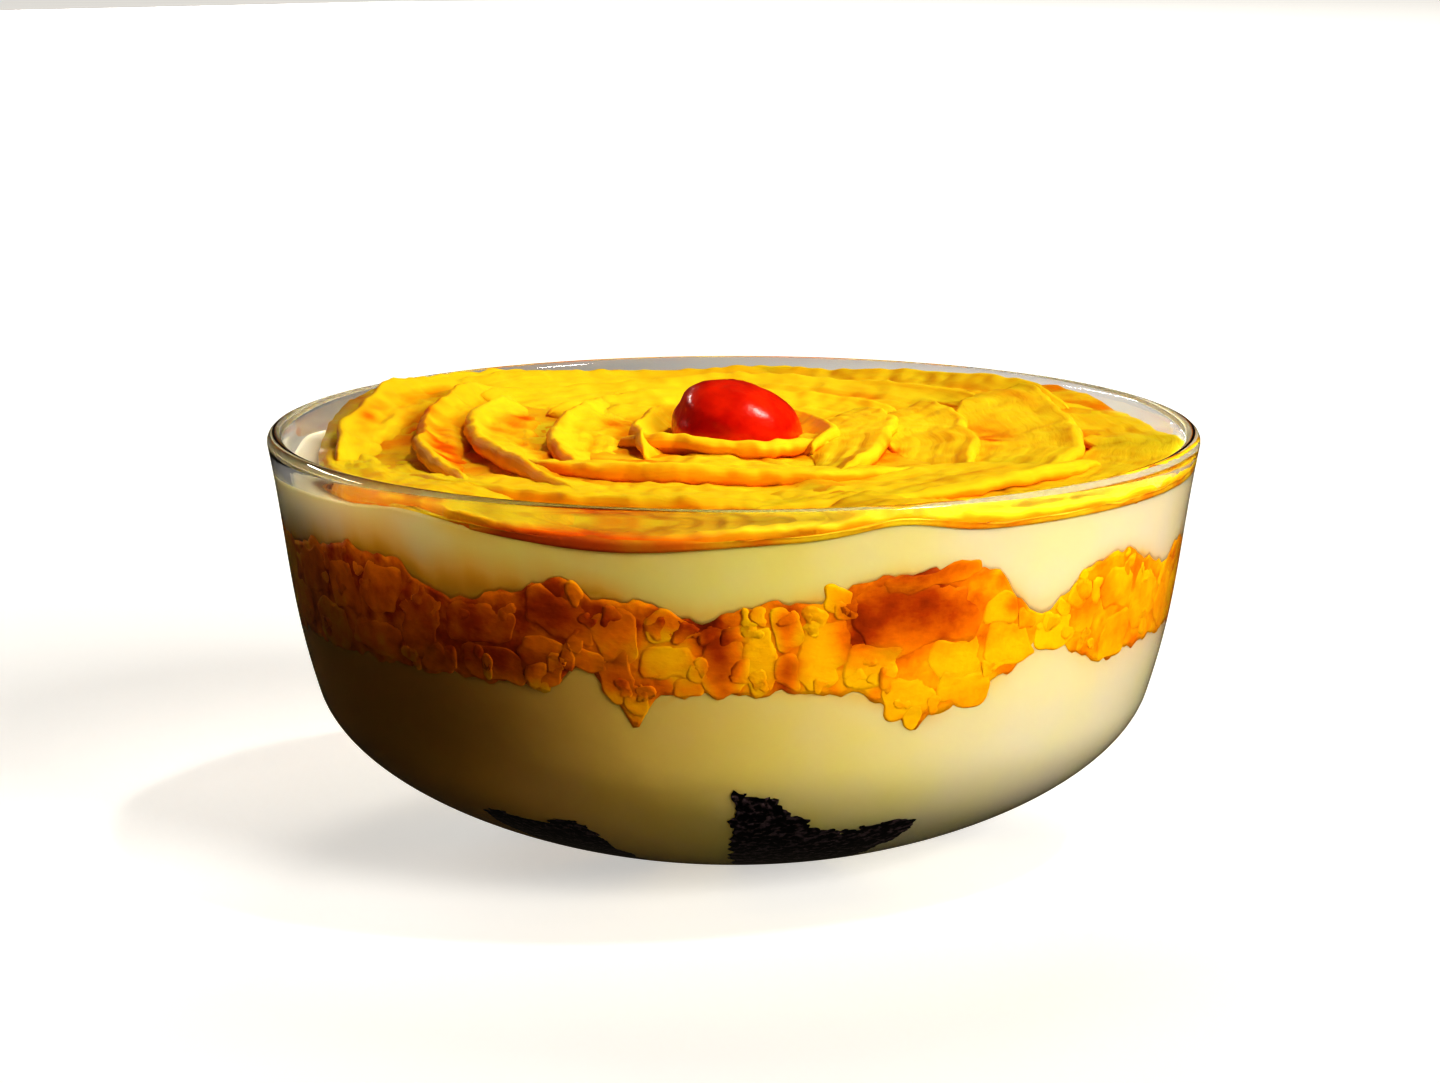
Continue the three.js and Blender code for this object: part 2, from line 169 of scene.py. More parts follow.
class StudioSettings(bpy.types.PropertyGroup):
    """Camera, lights and floor."""

    distance: length("Distance", "From the camera to the middle of the bowl", 800)
    elevation: FloatProperty(
        name="Elevation", description="Camera height", default=math.radians(11.95), subtype="ANGLE"
    )
    lens: amount("Lens", "Focal length in mm on a 36 mm frame", 122.95)
    aim_up: length("Aim up", "The camera aims this far over the middle", 13.97)
    aim_left: length("Aim left", "The camera aims this far to the left", 2.2)
    key_power: watts("Key power", "Soft light from the right", 32.0)
    side_power: watts("Side power", "Soft spot from the left", 9.0)
    side_beam: length("Side beam", "Radius that the spot from the left covers", 21)
    top_power: watts("Top power", "Narrow light from overhead", 21.0)
    beam: length("Beam", "Radius that the narrow light covers", 82)
    back_power: watts("Back power", "Soft light from behind", 5.0)
    window_power: watts("Window power", "Reflection of a window on wet things", 3.0)
    bounce_power: watts("Bounce power", "Light that a pale floor throws up", 3.0)
    far_power: watts("Far power", "Low soft light on the far side", 12.0)
    backdrop: colour("Backdrop", "Pale wall behind it all", paint(226, 223, 216))
    rim_power: watts("Rim power", "Strip of light behind the rim", 3.0)
    world_strength: amount("World strength", "Light from all round", 0.02)
    floor: colour("Floor", "Pale floor", paint(232, 230, 226))
    floor_through: amount("Floor through glass", "Its brightness in the glass", 0.3)
    floor_glow: amount("Floor glow", "Evens out the floor's light", 0.5)


SETTINGS = {
    "trifle_bowl": BowlSettings,
    "trifle_cream": CreamSettings,
    "trifle_mango": MangoSettings,
    "trifle_rose": RoseSettings,
    "trifle_cherry": CherrySettings,
    "trifle_cake": CakeSettings,
    "trifle_studio": StudioSettings,
}

# ---------------------------------------------------------------- layout of the layers

# Waves of the layers' edges: angle from the front towards +X, spread in degrees, rise in mm
MANGO_BOTTOM_WAVES = (
    (-19, 3.2, 3.4),
    (-12.4, 2.2, -5.6),
    (25, 7, -4.6),
    (23.4, 2.0, -2.6),
    (43, 4.8, 6.0),
    (56, 4, -0.8),
)
MANGO_TOP_WAVES = (
    (-66, 5, 1.4),
    (-54, 9, 3.6),
    (-45, 3, 1.6),
    (-37, 5, -1.8),
    (-22, 4.2, 3.0),
    (-4, 3.6, -3.2),
    (18, 4.5, 3.6),
    (26, 5, 3.8),
    (33, 4, 2.8),
    (41, 4.5, -5.2),
    (55, 5.5, 2.6),
    (69, 4, -2.4),
)
CREAM_TOP_WAVES = (
    (-43, 8, 1.2),
    (-14, 15, -2.0),
    (20, 7, 1.9),
    (-90, 18, -1.3),
)
HIDDEN_WAVES = {"at": range(88, 283, 17), "spread": 6, "per_degree": 0.11}  # round the back, by rule
WAVE_FADE = 4  # the higher, the closer to the wall the waves stay
FINE_WAVES = ((0.34, 41), (0.26, 73), (0.2, 109), (0.14, 167))  # rise in mm and how many go round

# Mango dice laid against the glass one by one: angle, height, width and tallness in mm
LAID_DICE = (
    (-84, 45.0, 12, 10),
    (-77, 48.4, 11, 9),
    (-73, 42.0, 12, 8),
    (-66, 49.4, 11, 9),
    (-62, 41.4, 11, 8),
    (-57, 48.0, 11, 10),
    (-51.5, 41.6, 12, 7),
    (-48.5, 50.0, 11, 8),
    (-42.4, 45.6, 9, 13),
    (-40.5, 39.8, 8, 4.5),
    (-33, 46.4, 14, 9),
    (-31, 40.6, 13, 6),
    (-24.6, 42.4, 8, 8),
    (-21.6, 49.0, 12, 9),
    (-18.4, 42.6, 8, 5),
    (-14.6, 47.0, 8.2, 9),
    (-14, 40.6, 6.6, 6.6),
    (-12.4, 36.4, 3.6, 5),
    (-7.7, 48.2, 9, 5.6),
    (-7.8, 42.6, 10, 7),
    (-5.4, 38.4, 6.4, 4),
    (-1.3, 43.6, 7.4, 13.4),
    (3.3, 44.0, 5.4, 13.4),
    (6.3, 48.0, 5, 8),
    (6.9, 41.0, 4.8, 6.6),
    (10.9, 44.4, 8.6, 13.6),
    (12.4, 52.4, 7, 5),
    (22.8, 49.4, 22, 11.6),
    (23.8, 54.4, 17, 3.4),
    (17.6, 41.8, 11, 7.4),
    (27.6, 41.8, 11, 7.6),
    (22.2, 36.6, 9, 7),
    (29.4, 37.0, 9, 7),
    (23.6, 33.0, 4.4, 5),
    (34.6, 48.8, 6.4, 6),
    (36.6, 42.8, 10, 8.4),
    (43.6, 43.4, 8.4, 6.2),
    (48.6, 45.2, 9, 7),
    (56, 48.6, 10, 9),
    (56.6, 40.6, 9, 8),
    (64, 45.4, 11, 12),
    (72.6, 42.4, 10, 10),
    (79, 44.6, 9, 9),
)
# Small bits between the dice, in mm, and where there are none: angles and lowest height
BITS = {"count": 210, "size": (1.8, 3.8), "bare": (15, 31, 46.5)}
BACK_DICE = {"first": 86, "last": 272, "step": 8.4, "rows": (47.8, 41.4), "seed": 11}

# Ripeness of the mango against the glass: angle, height, both spreads, and how much riper. The riper
# spots at the left, from -26 to -68 degrees, are partly painted shade.
PLAIN_RIPENESS = 0.2
HIDDEN_RIPENESS = {"from": 82, "over": 8, "more": 0.28, "lumps": 26}  # degrees, then how much, and mm
RIPE_SPOTS = (
    (22.6, 50.4, 9.0, 4.6, 0.5),
    (20, 45.4, 8, 3.6, 0.26),
    (24, 56.0, 9, 1.8, 0.4),
    (14.6, 47.0, 2.4, 4, 0.25),
    (-2.4, 46.0, 3.0, 5.4, 0.66),
    (-1.2, 40.4, 2.8, 3.6, 0.34),
    (6.6, 40.6, 2.0, 3.4, 0.3),
    (6.4, 45.0, 1.3, 6.0, 0.34),
    (6.2, 49.0, 2.0, 3.4, 0.24),
    (10.8, 44.6, 2.6, 7, -0.16),
    (3.2, 43.4, 1.8, 7, -0.04),
    (-7.6, 42.4, 4.2, 3.2, -0.1),
    (-10.6, 38.0, 4.0, 1.8, 0.36),
    (-7.7, 49.0, 4.4, 2.8, 0.46),
    (-14.6, 47.4, 4.2, 4.4, 0.24),
    (-14.4, 40.6, 2.8, 3.2, 0.36),
    (-21.4, 50.0, 6.4, 4.6, 0.5),
    (-26, 40.4, 8, 3.4, 0.5),
    (-40, 40.6, 12, 4.2, 0.24),
    (-9, 42, 6, 6, -0.14),
    (26, 38, 8, 4, -0.1),
    (3.6, 45, 5, 8, -0.1),
    (-63, 41.0, 12, 4.4, 0.14),
    (-33, 47, 8, 5.4, 0.36),
    (-43, 49, 6, 6, 0.28),
    (-54, 51, 9, 6, 0.42),
    (-68, 47, 9, 8, 0.18),
    (36.6, 44.0, 4, 3.6, 0.1),
    (36.2, 48.6, 1.6, 1.4, 0.3),
    (48.6, 46.4, 3, 3, 0.26),
    (57, 40.4, 3, 3, 0.16),
)

# Slices of the rose, from the cherry outwards: first and last angle, radius of the crest in the middle
# and how much farther out it is at either end, width, fall behind the crest and lift, in mm
LAID_SLICES = (
    (-178, -42, 15.4, 3.0, 6.0, 9, 3.6, 0.9),
    (-74, 62, 15.0, 4.0, 3.5, 9, 2.2, 0.0),
    (44, 192, 15.8, 3.0, 3.0, 9, 3.2, 0.4),
    (-158, -46, 29.0, 12.0, 6.0, 17, 2.4, 0.1),
    (-66, 50, 37.0, 3.0, 3.0, 24, 0.8, -0.3),
    (22, 142, 26.0, 12.0, 7.0, 15, 0.7, -0.2),
    (128, 238, 31.5, 3.0, 5.0, 19, 2.0, 0.3),
    (-128, -26, 42.6, 5.0, 10.0, 16, 2.6, 0.2),
    (54, 134, 38.6, 6.0, 4.0, 15, 0.9, -0.3),
    (122, 236, 46.5, 4.0, 6.0, 18, 2.0, 0.1),
    (-134, -44, 51.2, 5.0, 7.0, 12, 3.4, 0.3),
    (-154, -76, 63.4, -1.5, 1.5, 11, 2.6, 0.2),
    (-58, 18, 59.4, 2.0, 3.0, 24, 0.8, 0.0),
    (2, 70, 59.8, 3.0, 2.0, 24, 0.7, 0.4),
    (52, 128, 56.4, 3.0, 3.5, 20, 0.8, 0.0),
    (114, 182, 59.0, 3.0, 3.0, 17, 2.0, 0.0),
    (166, 236, 59.5, 3.0, 3.0, 17, 2.2, 0.0),
)
# Outermost slices, turned down against the glass: first and last angle
EDGE_SLICES = (
    (-176, -108),
    (-128, -62),
    (-80, -22),
    (-40, 16),
    (-2, 54),
    (38, 92),
    (78, 136),
    (122, 192),
)
# The outermost slices: degrees over which a tip draws in from the glass, how far it does so, the
# width of a slice and how far its ends sag, in mm
EDGE = {"tip": 6, "tip_inwards": 4.5, "width": 17, "sag": 0.3}
LAID_SAG = 1.5  # how far the ends of the others sag, in mm
SLICE_STEPS = 89  # sections along a slice
CREST_WEAVES = ((0.35, 9), (0.2, 21))  # how far a laid slice's crest weaves, in mm, and how fast
CREST_WAVE = (0.25, 8)  # and how it rises and falls
SLICE_ENDS = {"thick": 0.3, "wide": 0.25}  # share of its thickness and width that a slice's tips keep
SLICE_THINS = 0.45  # how much thinner a slice is at its inner edge, as a share
# Under the turned-down slices the flesh is painted darker, as painted shade under their overhang: below
# this height and over how much, then from this radius and over how much, in mm
UNDER_EDGE_SHADE = {"below": 62.8, "over": 1.8, "radius": 66, "radius_over": 3}
UNDER_EDGE_SHADE_SPOTS = ((-15, 24, 0.6), (-23, 12, 1.2))  # angle, spread in degrees and how much darker the painted shade is
# Relief of the slices: height, how much lower it is on the calm side, size of the lumps in mm, seed
RELIEF = {
    "streaks": (0.3, 0.2, 4.2, 61),
    "lumps": (0.19, 0.09, 4.5, 62),
    "ragged edge": (0.35, 0.0, 6, 63),
}
ALONG_FIBRES = np.array([0.13, 1.0, 1.0])  # streaks are this much longer than they are wide
ALONG_EDGE = np.array([1.0, 0.3, 1.0])
# The core of the rose: its margin past the slices, how far it lies below their crests, how much
# deeper it is in the hollow for the cherry and that hollow's radius, how far it is sunk into the
# cream, and how high its edge stands over it, in mm
CORE = {"margin": 0.6, "below": 3.0, "hollow": 7.6, "hollow_radius": 9.5, "sunk": 0.4, "edge": 1.3}
# Riper strokes in the rose, partly riper flesh and partly painted shade in its hollows and folds: angle,
# radius, spread in degrees and in mm, and how much riper
ROSE_RIPE_AND_SHADE_STROKES = (
    (-74, 47.5, 20, 2.8, 1.0),
    (-100, 60.0, 10, 1.6, 0.5),
    (-60, 33.0, 9, 1.8, 0.7),
    (-40, 40.0, 10, 2.0, 0.45),
    (30, 32.0, 8, 2.0, 0.2),
    (45, 52.0, 10, 2.0, 0.35),
    (150, 40.0, 16, 2.2, 0.4),
    (-160, 34.0, 14, 2.0, 0.4),
    (178, 56.0, 12, 2.4, 0.3),
    (-97, 52.0, 14, 2.2, 0.8),
    (-112, 38.0, 22, 2.2, 0.75),
    (-122, 21.0, 12, 2.6, 0.6),
    (-36, 24.5, 13, 2.2, 0.8),
    (-96, 30.0, 12, 2.4, 0.5),
    (91, 42.0, 13, 3.4, 0.75),
    (66, 27.0, 10, 2.2, 0.4),
    (118, 53.0, 12, 2.4, 0.35),
    (-20, 66.0, 22, 1.6, 0.35),
    (5, 67.0, 9, 3.0, 0.35),
)
ROSE_GAPS = ((-90, 33, 5.9), (118, 24, 3.4))  # where the rose stands off the wall
ROSE_SWELLS = ((-116, 20, 2.9), (126, 16, 2.2), (-163, 12, -0.5))  # its edge is heaped higher here
KEY_LIGHT_SIDE = np.array((0.6, -0.22, 0.77))  # painted shade: flesh that faces away from the key light's side is painted deeper orange
LEAN = {"from": 0.74, "over": 0.35}  # cosines to the key light's side where that painted shade starts, and how far it goes on
# The cream is pressed down under the cherry; the dip has run out at `ease` times its radius
CREAM_DIP = {"depth": 7.4, "radius": 13, "ease": 1.6}
CREAM_RADIUS, ROSE_RADIUS = 71.6, 71.8  # of the upper cream's top and of the whole rose, in mm
SWELL_START = 0.85  # share of the rose's radius inside which a swell dies away


def wave_sum(waves, angle):
    """Sum of the waves at angles in degrees, in mm."""
    total = np.zeros_like(np.asarray(angle, float))
    for at, spread, rise in waves:
        away = ((np.asarray(angle, float) - at + 540) % 360 - 180) / spread
        total += rise * np.exp(-away * away)
    return total


def between(low, high, share):
    """The value a share of the way from low to high."""
    return low + (high - low) * share


def bell(value, middle, spread):
    """1 at the middle, fading away over the spread."""
    return np.exp(-(((value - middle) / spread) ** 2))


def hidden_waves(strength, phase):
    """Waves by rule for the side that has none listed."""
    spread, turn = HIDDEN_WAVES["spread"], HIDDEN_WAVES["per_degree"]
    return tuple((at, spread, strength * math.sin(at * turn + phase)) for at in HIDDEN_WAVES["at"])


def fill_level(level, waves, angle, share, seed):
    """Height in metres of a layer's surface: level in the middle, wavy and ragged at the wall."""
    turn = np.radians(np.asarray(angle, float))
    ragged = sum(rise * np.sin(turn * count + seed * count) for rise, count in FINE_WAVES)
    return level + (wave_sum(waves, angle) + ragged) * MM * share**WAVE_FADE


def mango_bottom(angle, share):
    """Underside of the mango layer."""
    level = bpy.context.scene.trifle_cream.mango_bottom
    return fill_level(level, MANGO_BOTTOM_WAVES + hidden_waves(4, 0.4), angle, share, 1.3)


def mango_top(angle, share):
    """Top of the mango layer."""
    level = bpy.context.scene.trifle_cream.mango_top
    return fill_level(level, MANGO_TOP_WAVES + hidden_waves(3.6, 2.1), angle, share, 2.7)


def cream_top(angle, share):
    """Top of the upper cream, dipped under the cherry."""
    level = bpy.context.scene.trifle_cream.cream_top
    radius = share * CREAM_RADIUS
    dip = np.clip(CREAM_DIP["ease"] - radius / CREAM_DIP["radius"], 0, 1)
    dip = dip * dip * (3 - 2 * dip)
    waves = CREAM_TOP_WAVES + hidden_waves(1.2, 4)
    return level + (wave_sum(waves, angle) * share**WAVE_FADE - CREAM_DIP["depth"] * dip) * MM


def ripeness_at(points):
    """How ripe the mango is at each point, from 0 for yellow to 1 for brown amber; the riper spots at the
    left are partly painted shade.
    """
    angle, height = angle_of(points), points[:, 2] / MM
    ripe = np.full(len(points), PLAIN_RIPENESS)
    for at, level, spread, tall, more in RIPE_SPOTS:
        ripe += more * np.exp(-(((angle - at) / spread) ** 2) - ((height - level) / tall) ** 2)
    hidden = np.clip((np.abs(angle) - HIDDEN_RIPENESS["from"]) / HIDDEN_RIPENESS["over"], 0, 1)
    uneven = 1 + soft_noise(points, HIDDEN_RIPENESS["lumps"] * MM, 77)
    return ripe + hidden * HIDDEN_RIPENESS["more"] * uneven


def rose_height(angle, radius):
    """Height of the slices' edges over the whole rose."""
    rose = bpy.context.scene.trifle_rose
    outwards = radius / (ROSE_RADIUS * MM)
    behind = -np.cos(np.radians(angle)) * radius
    swell = wave_sum(ROSE_SWELLS, angle) * MM * np.clip(outwards / SWELL_START, 0, 1) ** 3
    return rose.level + rose.dome * (1 - outwards**2) + rose.tilt * behind + swell


def rose_reach(angle, height):
    """Radius that the rose reaches at an angle."""
    return content_radius(height, 0) - wave_sum(ROSE_GAPS, angle) * MM


# ---------------------------------------------------------------- shapes


def bezier(p0, p1, p2, p3, steps):
    """Points of a cubic curve."""
    t = np.linspace(0, 1, steps + 1)[:, None]
    u = 1 - t
    return u**3 * p0 + 3 * u * u * t * p1 + 3 * u * t * t * p2 + t**3 * p3


SIDE_FULLNESS = 0.4  # share of the side's rise over which it keeps the lean of its turn


def bowl_outline(belly_steps=64, side_steps=40):
    """Outer section of the bowl as (radius, height), from the foot to the rim."""
    bowl = bpy.context.scene.trifle_bowl
    lean = np.array([bowl.side_lean, 1.0])
    lean /= np.linalg.norm(lean)
    foot = np.array([bowl.foot_radius, 0.0])
    turn = np.array([bowl.belly_radius, bowl.belly_height])
    rim = np.array([bowl.rim_radius, bowl.height])
    rise = rim[1] - turn[1]
    pull = rise * SIDE_FULLNESS
    eased = np.array([bowl.foot_radius + bowl.foot_ease, 0.0])
    belly = bezier(foot, eased, turn - lean * bowl.belly_pull, turn, belly_steps)
    under_rim = rim - np.array([(rim[0] - turn[0]) / rise * pull, pull])
    side = bezier(turn, turn + lean * pull, under_rim, rim, side_steps)
    return np.vstack([belly, side[1:]])


def inset(outline, distance):
    """The outline moved inwards by a distance."""
    along = np.gradient(outline, axis=0)
    along[0] = (1, 0)
    along /= np.linalg.norm(along, axis=1)[:, None]
    return outline + np.stack([-along[:, 1], along[:, 0]], axis=1) * distance


def content_radius(height, press):
    """Radius of the contents at a height, when they reach `press` into the wall."""
    wall = inset(bowl_outline(), bpy.context.scene.trifle_bowl.wall - press)
    return np.interp(height, wall[:, 1], wall[:, 0])


def polar(angle, radius, height):
    """Points from angles in degrees, measured from the front towards +X."""
    turn = np.radians(angle)
    return np.stack(np.broadcast_arrays(radius * np.sin(turn), -radius * np.cos(turn), height), axis=-1)


def even_angles(around=480):
    """Even angles all round; the default is for the layers' fine edges."""
    return np.arange(around) * 360 / around


def angle_of(points):
    """Angle in degrees from the front of each point."""
    return np.degrees(np.arctan2(points[:, 0], -points[:, 1]))


def soft_noise(points, size, seed, octaves=2):
    """Smooth random value of about -1 to 1 at each point, with lumps of a size."""
    rng = np.random.default_rng(seed)
    total = np.zeros(len(points))
    waves = 8
    for octave in range(octaves):
        for _ in range(waves):
            direction = rng.normal(size=3)
            steepness = 2 * math.pi * 2**octave * rng.uniform(0.6, 1.3)
            direction *= steepness / (size * np.linalg.norm(direction))
            total += np.sin(points @ direction + rng.uniform(0, 2 * math.pi)) / 2**octave
    return total / math.sqrt(waves * 2)


def lumps_at(points, layers, seed=0):
    """Sum of layers of noise, each with its height, size, seed and octaves."""
    total = 0
    for height, size, own_seed, octaves in layers:
        total = total + height * soft_noise(points, size, seed + own_seed, octaves)
    return total


def make_mesh(name, points, faces):
    """New mesh object in the scene, smooth shaded."""
    mesh = bpy.data.meshes.new(name)
    mesh.from_pydata([tuple(p) for p in points], [], [tuple(f) for f in faces])
    mesh.validate()
    mesh.polygons.foreach_set("use_smooth", [True] * len(mesh.polygons))
    mesh.update()
    piece = bpy.data.objects.new(name, mesh)
    bpy.context.scene.collection.objects.link(piece)
    return piece


def ring_faces(rings, count):
    """Faces of a closed stack of rings with a pole at each end. Pole points come first and last."""
    around = np.arange(count)
    beyond = (around + 1) % count
    faces = [(0, 1 + b, 1 + a) for a, b in zip(around, beyond)]
    for ring in range(1, rings):
        low = 1 + (ring - 1) * count
        high = low + count
        faces += [(low + a, low + b, high + b, high + a) for a, b in zip(around, beyond)]
    last = rings * count + 1
    start = 1 + (rings - 1) * count
    faces += [(last, start + a, start + b) for a, b in zip(around, beyond)]
    return faces


def ring_stack(name, rings, first_pole, last_pole):
    """Closed mesh from rings of points, upwards round the outside and in over the top."""
    points = np.vstack([[first_pole], *rings, [last_pole]])
    return make_mesh(name, points, ring_faces(len(rings), len(rings[0])))


def add_values(piece, name, values):
    """Store one number for each point, for the material to read."""
    layer = piece.data.attributes.new(name, "FLOAT", "POINT")
    layer.data.foreach_set("value", np.asarray(values, np.float32))


def add_vectors(piece, name, values):
    """Store one vector for each point, for the material to read."""
    layer = piece.data.attributes.new(name, "FLOAT_VECTOR", "POINT")
    layer.data.foreach_set("vector", np.asarray(values, np.float32).ravel())


def points_of(piece):
    """The mesh's points as an array."""
    flat = np.empty(len(piece.data.vertices) * 3)
    piece.data.vertices.foreach_get("co", flat)
    return flat.reshape(-1, 3)


def normals_of(piece):
    """Outward direction at each of the mesh's points."""
    flat = np.empty(len(piece.data.vertices) * 3)
    piece.data.vertices.foreach_get("normal", flat)
    return flat.reshape(-1, 3)


def move_points(piece, points):
    """Put the mesh's points at new places."""
    piece.data.vertices.foreach_set("co", points.ravel())
    piece.data.update()


def held_in(points, press):
    """The points, with those past the wall pressed flat against it."""
    radius = np.hypot(points[:, 0], points[:, 1])
    limit = content_radius(points[:, 2], press)
    share = np.minimum(1, limit / np.maximum(radius, 1e-9))
    return points * np.stack([share, share, np.ones_like(share)], axis=1)


def wall_line(press, count=900):
    """Even points along the line `press` inside the glass, with their outward normals."""
    line = inset(bowl_outline(), bpy.context.scene.trifle_bowl.wall - press)
    run = np.concatenate([[0], np.cumsum(np.linalg.norm(np.diff(line, axis=0), axis=1))])
    at = np.linspace(0, run[-1], count)
    line = np.stack([np.interp(at, run, line[:, 0]), np.interp(at, run, line[:, 1])], axis=1)
    line = np.vstack([[(0, line[0, 1])], line])
    along = np.gradient(line, axis=0)
    along /= np.linalg.norm(along, axis=1)[:, None]
    return line, np.stack([along[:, 1], -along[:, 0]], axis=1), along


def pressed(points, press, within):
    """The points, with those nearer to the glass than `within` pressed flat against it."""
    line, normals, along = wall_line(press)
    radius = np.hypot(points[:, 0], points[:, 1])
    flat = np.stack([radius, points[:, 2]], axis=1)
    nearest = np.zeros(len(points), int)
    best = np.full(len(points), np.inf)
    for i, spot in enumerate(line):
        away = np.linalg.norm(flat - spot, axis=1)
        closer = away < best
        nearest[closer] = i
        best[closer] = away[closer]
    outwards = np.sum((flat - line[nearest]) * normals[nearest], axis=1)
    sideways = np.sum((flat - line[nearest]) * along[nearest], axis=1)
    move = outwards > -within
    target = line[nearest] + along[nearest] * sideways[:, None]
    flat[move] = target[move]
    share = flat[:, 0] / np.maximum(radius, 1e-9)
    return np.stack([points[:, 0] * share, points[:, 1] * share, flat[:, 1]], axis=1)


def settle(piece, material, slot, *nodes):
    """Give a piece its material, and its place in the frame."""
    piece.data.materials.clear()
    piece.data.materials.append(material)
    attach(piece, BODY)
    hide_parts(*nodes)
    return piece


# ---------------------------------------------------------------- shader groups


def new_group(name, inputs, outputs):
    """Shader group with named sockets. Returns the tree, its input and its output node."""
    tree = bpy.data.node_groups.new(name, "ShaderNodeTree")
    for label, kind, value in inputs:
        socket = tree.interface.new_socket(name=label, in_out="INPUT", socket_type=kind)
        if value is not None:
            socket.default_value = value
    for label, kind in outputs:
        tree.interface.new_socket(name=label, in_out="OUTPUT", socket_type=kind)
    return tree, tree.nodes.new("NodeGroupInput"), tree.nodes.new("NodeGroupOutput")


def noise(tree, source, scale, detail=3, roughness=0.5):
    """Noise texture on a vector socket."""
    node = tree.nodes.new("ShaderNodeTexNoise")
    node.inputs["Detail"].default_value = detail
    node.inputs["Roughness"].default_value = roughness
    tree.links.new(source, node.inputs["Vector"])
    join(tree, scale, node.inputs["Scale"])
    return node.outputs["Fac"]


def join(tree, value, socket):
    """Link an output to a socket, or set a plain value on it."""
    if isinstance(value, bpy.types.NodeSocket):
        tree.links.new(value, socket)
    else:
        socket.default_value = value


def remap(tree, value, low, high, out_low=0.0, out_high=1.0):
    """Stretch a value from one range to another."""
    node = tree.nodes.new("ShaderNodeMapRange")
    join(tree, value, node.inputs["Value"])
    ends = {"From Min": low, "From Max": high, "To Min": out_low, "To Max": out_high}
    for label, end in ends.items():
        join(tree, end, node.inputs[label])
    return node.outputs["Result"]


def mix_shaders(tree, share, first, second):
    """Mix of two shaders."""
    node = tree.nodes.new("ShaderNodeMixShader")
    for source, socket in zip((share, first, second), node.inputs):
        tree.links.new(source, socket)
    return node.outputs[0]


def maths(tree, operation, first, second):
    """Arithmetic on two values."""
    node = tree.nodes.new("ShaderNodeMath")
    node.operation = operation
    join(tree, first, node.inputs[0])
    join(tree, second, node.inputs[1])
    return node.outputs[0]


def blend_colour(tree, share, first, second):
    """Mix of two colours."""
    node = tree.nodes.new("ShaderNodeMix")
    node.data_type = "RGBA"
    join(tree, share, node.inputs[0])
    join(tree, first, node.inputs[6])
    join(tree, second, node.inputs[7])
    return node.outputs[2]


def mottle_group():
    """Large soft patches and fine grain, for cream, juice and glaze."""
    if "Mottle" in bpy.data.node_groups:
        return bpy.data.node_groups["Mottle"]
    tree, enter, leave = new_group(
        "Mottle",
        [
            ("Vector", "NodeSocketVector", None),
            ("Patch Scale", "NodeSocketFloat", 60.0),
            ("Grain Scale", "NodeSocketFloat", 900.0),
            ("Grain Share", "NodeSocketFloat", 0.3),
        ],
        [("Patches", "NodeSocketFloat"), ("Height", "NodeSocketFloat")],
    )
    patches = noise(tree, enter.outputs["Vector"], enter.outputs["Patch Scale"], 3)
    grain = noise(tree, enter.outputs["Vector"], enter.outputs["Grain Scale"], 2)
    fine = maths(tree, "MULTIPLY", grain, enter.outputs["Grain Share"])
    tree.links.new(remap(tree, patches, 0.35, 0.65), leave.inputs["Patches"])
    tree.links.new(maths(tree, "ADD", patches, fine), leave.inputs["Height"])
    return tree


def flesh_group():
    """Mango flesh: long fibres along the fruit, soft patches and small wet pits."""
    if "Mango Flesh" in bpy.data.node_groups:
        return bpy.data.node_groups["Mango Flesh"]
    tree, enter, leave = new_group(
        "Mango Flesh",
        [
            ("Vector", "NodeSocketVector", None),
            ("Fibre Scale", "NodeSocketFloat", 900.0),
            ("Patch Scale", "NodeSocketFloat", 90.0),
            ("Stretch", "NodeSocketFloat", 0.12),
        ],
        [("Fibres", "NodeSocketFloat"), ("Patches", "NodeSocketFloat"), ("Height", "NodeSocketFloat")],
    )
    stretched = tree.nodes.new("ShaderNodeCombineXYZ")
    parts = tree.nodes.new("ShaderNodeSeparateXYZ")
    tree.links.new(enter.outputs["Vector"], parts.inputs[0])
    along = maths(tree, "MULTIPLY", parts.outputs["X"], enter.outputs["Stretch"])
    tree.links.new(along, stretched.inputs["X"])
    tree.links.new(parts.outputs["Y"], stretched.inputs["Y"])
    tree.links.new(parts.outputs["Z"], stretched.inputs["Z"])
    fibres = noise(tree, stretched.outputs[0], enter.outputs["Fibre Scale"], 4, 0.6)
    patches = noise(tree, enter.outputs["Vector"], enter.outputs["Patch Scale"], 3)
    height = maths(tree, "ADD", fibres, patches)
    tree.links.new(remap(tree, fibres, 0.4, 0.7), leave.inputs["Fibres"])
    tree.links.new(remap(tree, patches, 0.35, 0.65), leave.inputs["Patches"])
    tree.links.new(height, leave.inputs["Height"])
    return tree


# ---------------------------------------------------------------- materials


def new_material(name):
    """Material with a Principled shader. Returns the material, its tree and the shader."""
    material = bpy.data.materials.new(name)
    material.use_nodes = True
    tree = material.node_tree
    return material, tree, tree.nodes["Principled BSDF"]


def set_inputs(node, **values):
    """Set plain values on a node's sockets; _ stands for a space in a socket's name."""
    for label, value in values.items():
        node.inputs[label.replace("_", " ")].default_value = value


def place_group(tree, group, vector, **values):
    """Put a shader group in a material with its own values."""
    node = tree.nodes.new("ShaderNodeGroup")
    node.node_tree = group
    tree.links.new(vector, node.inputs["Vector"])
    set_inputs(node, **values)
    return node


def object_place(tree):
    """The socket with the place on the object."""
    return tree.nodes.new("ShaderNodeTexCoord").outputs["Object"]


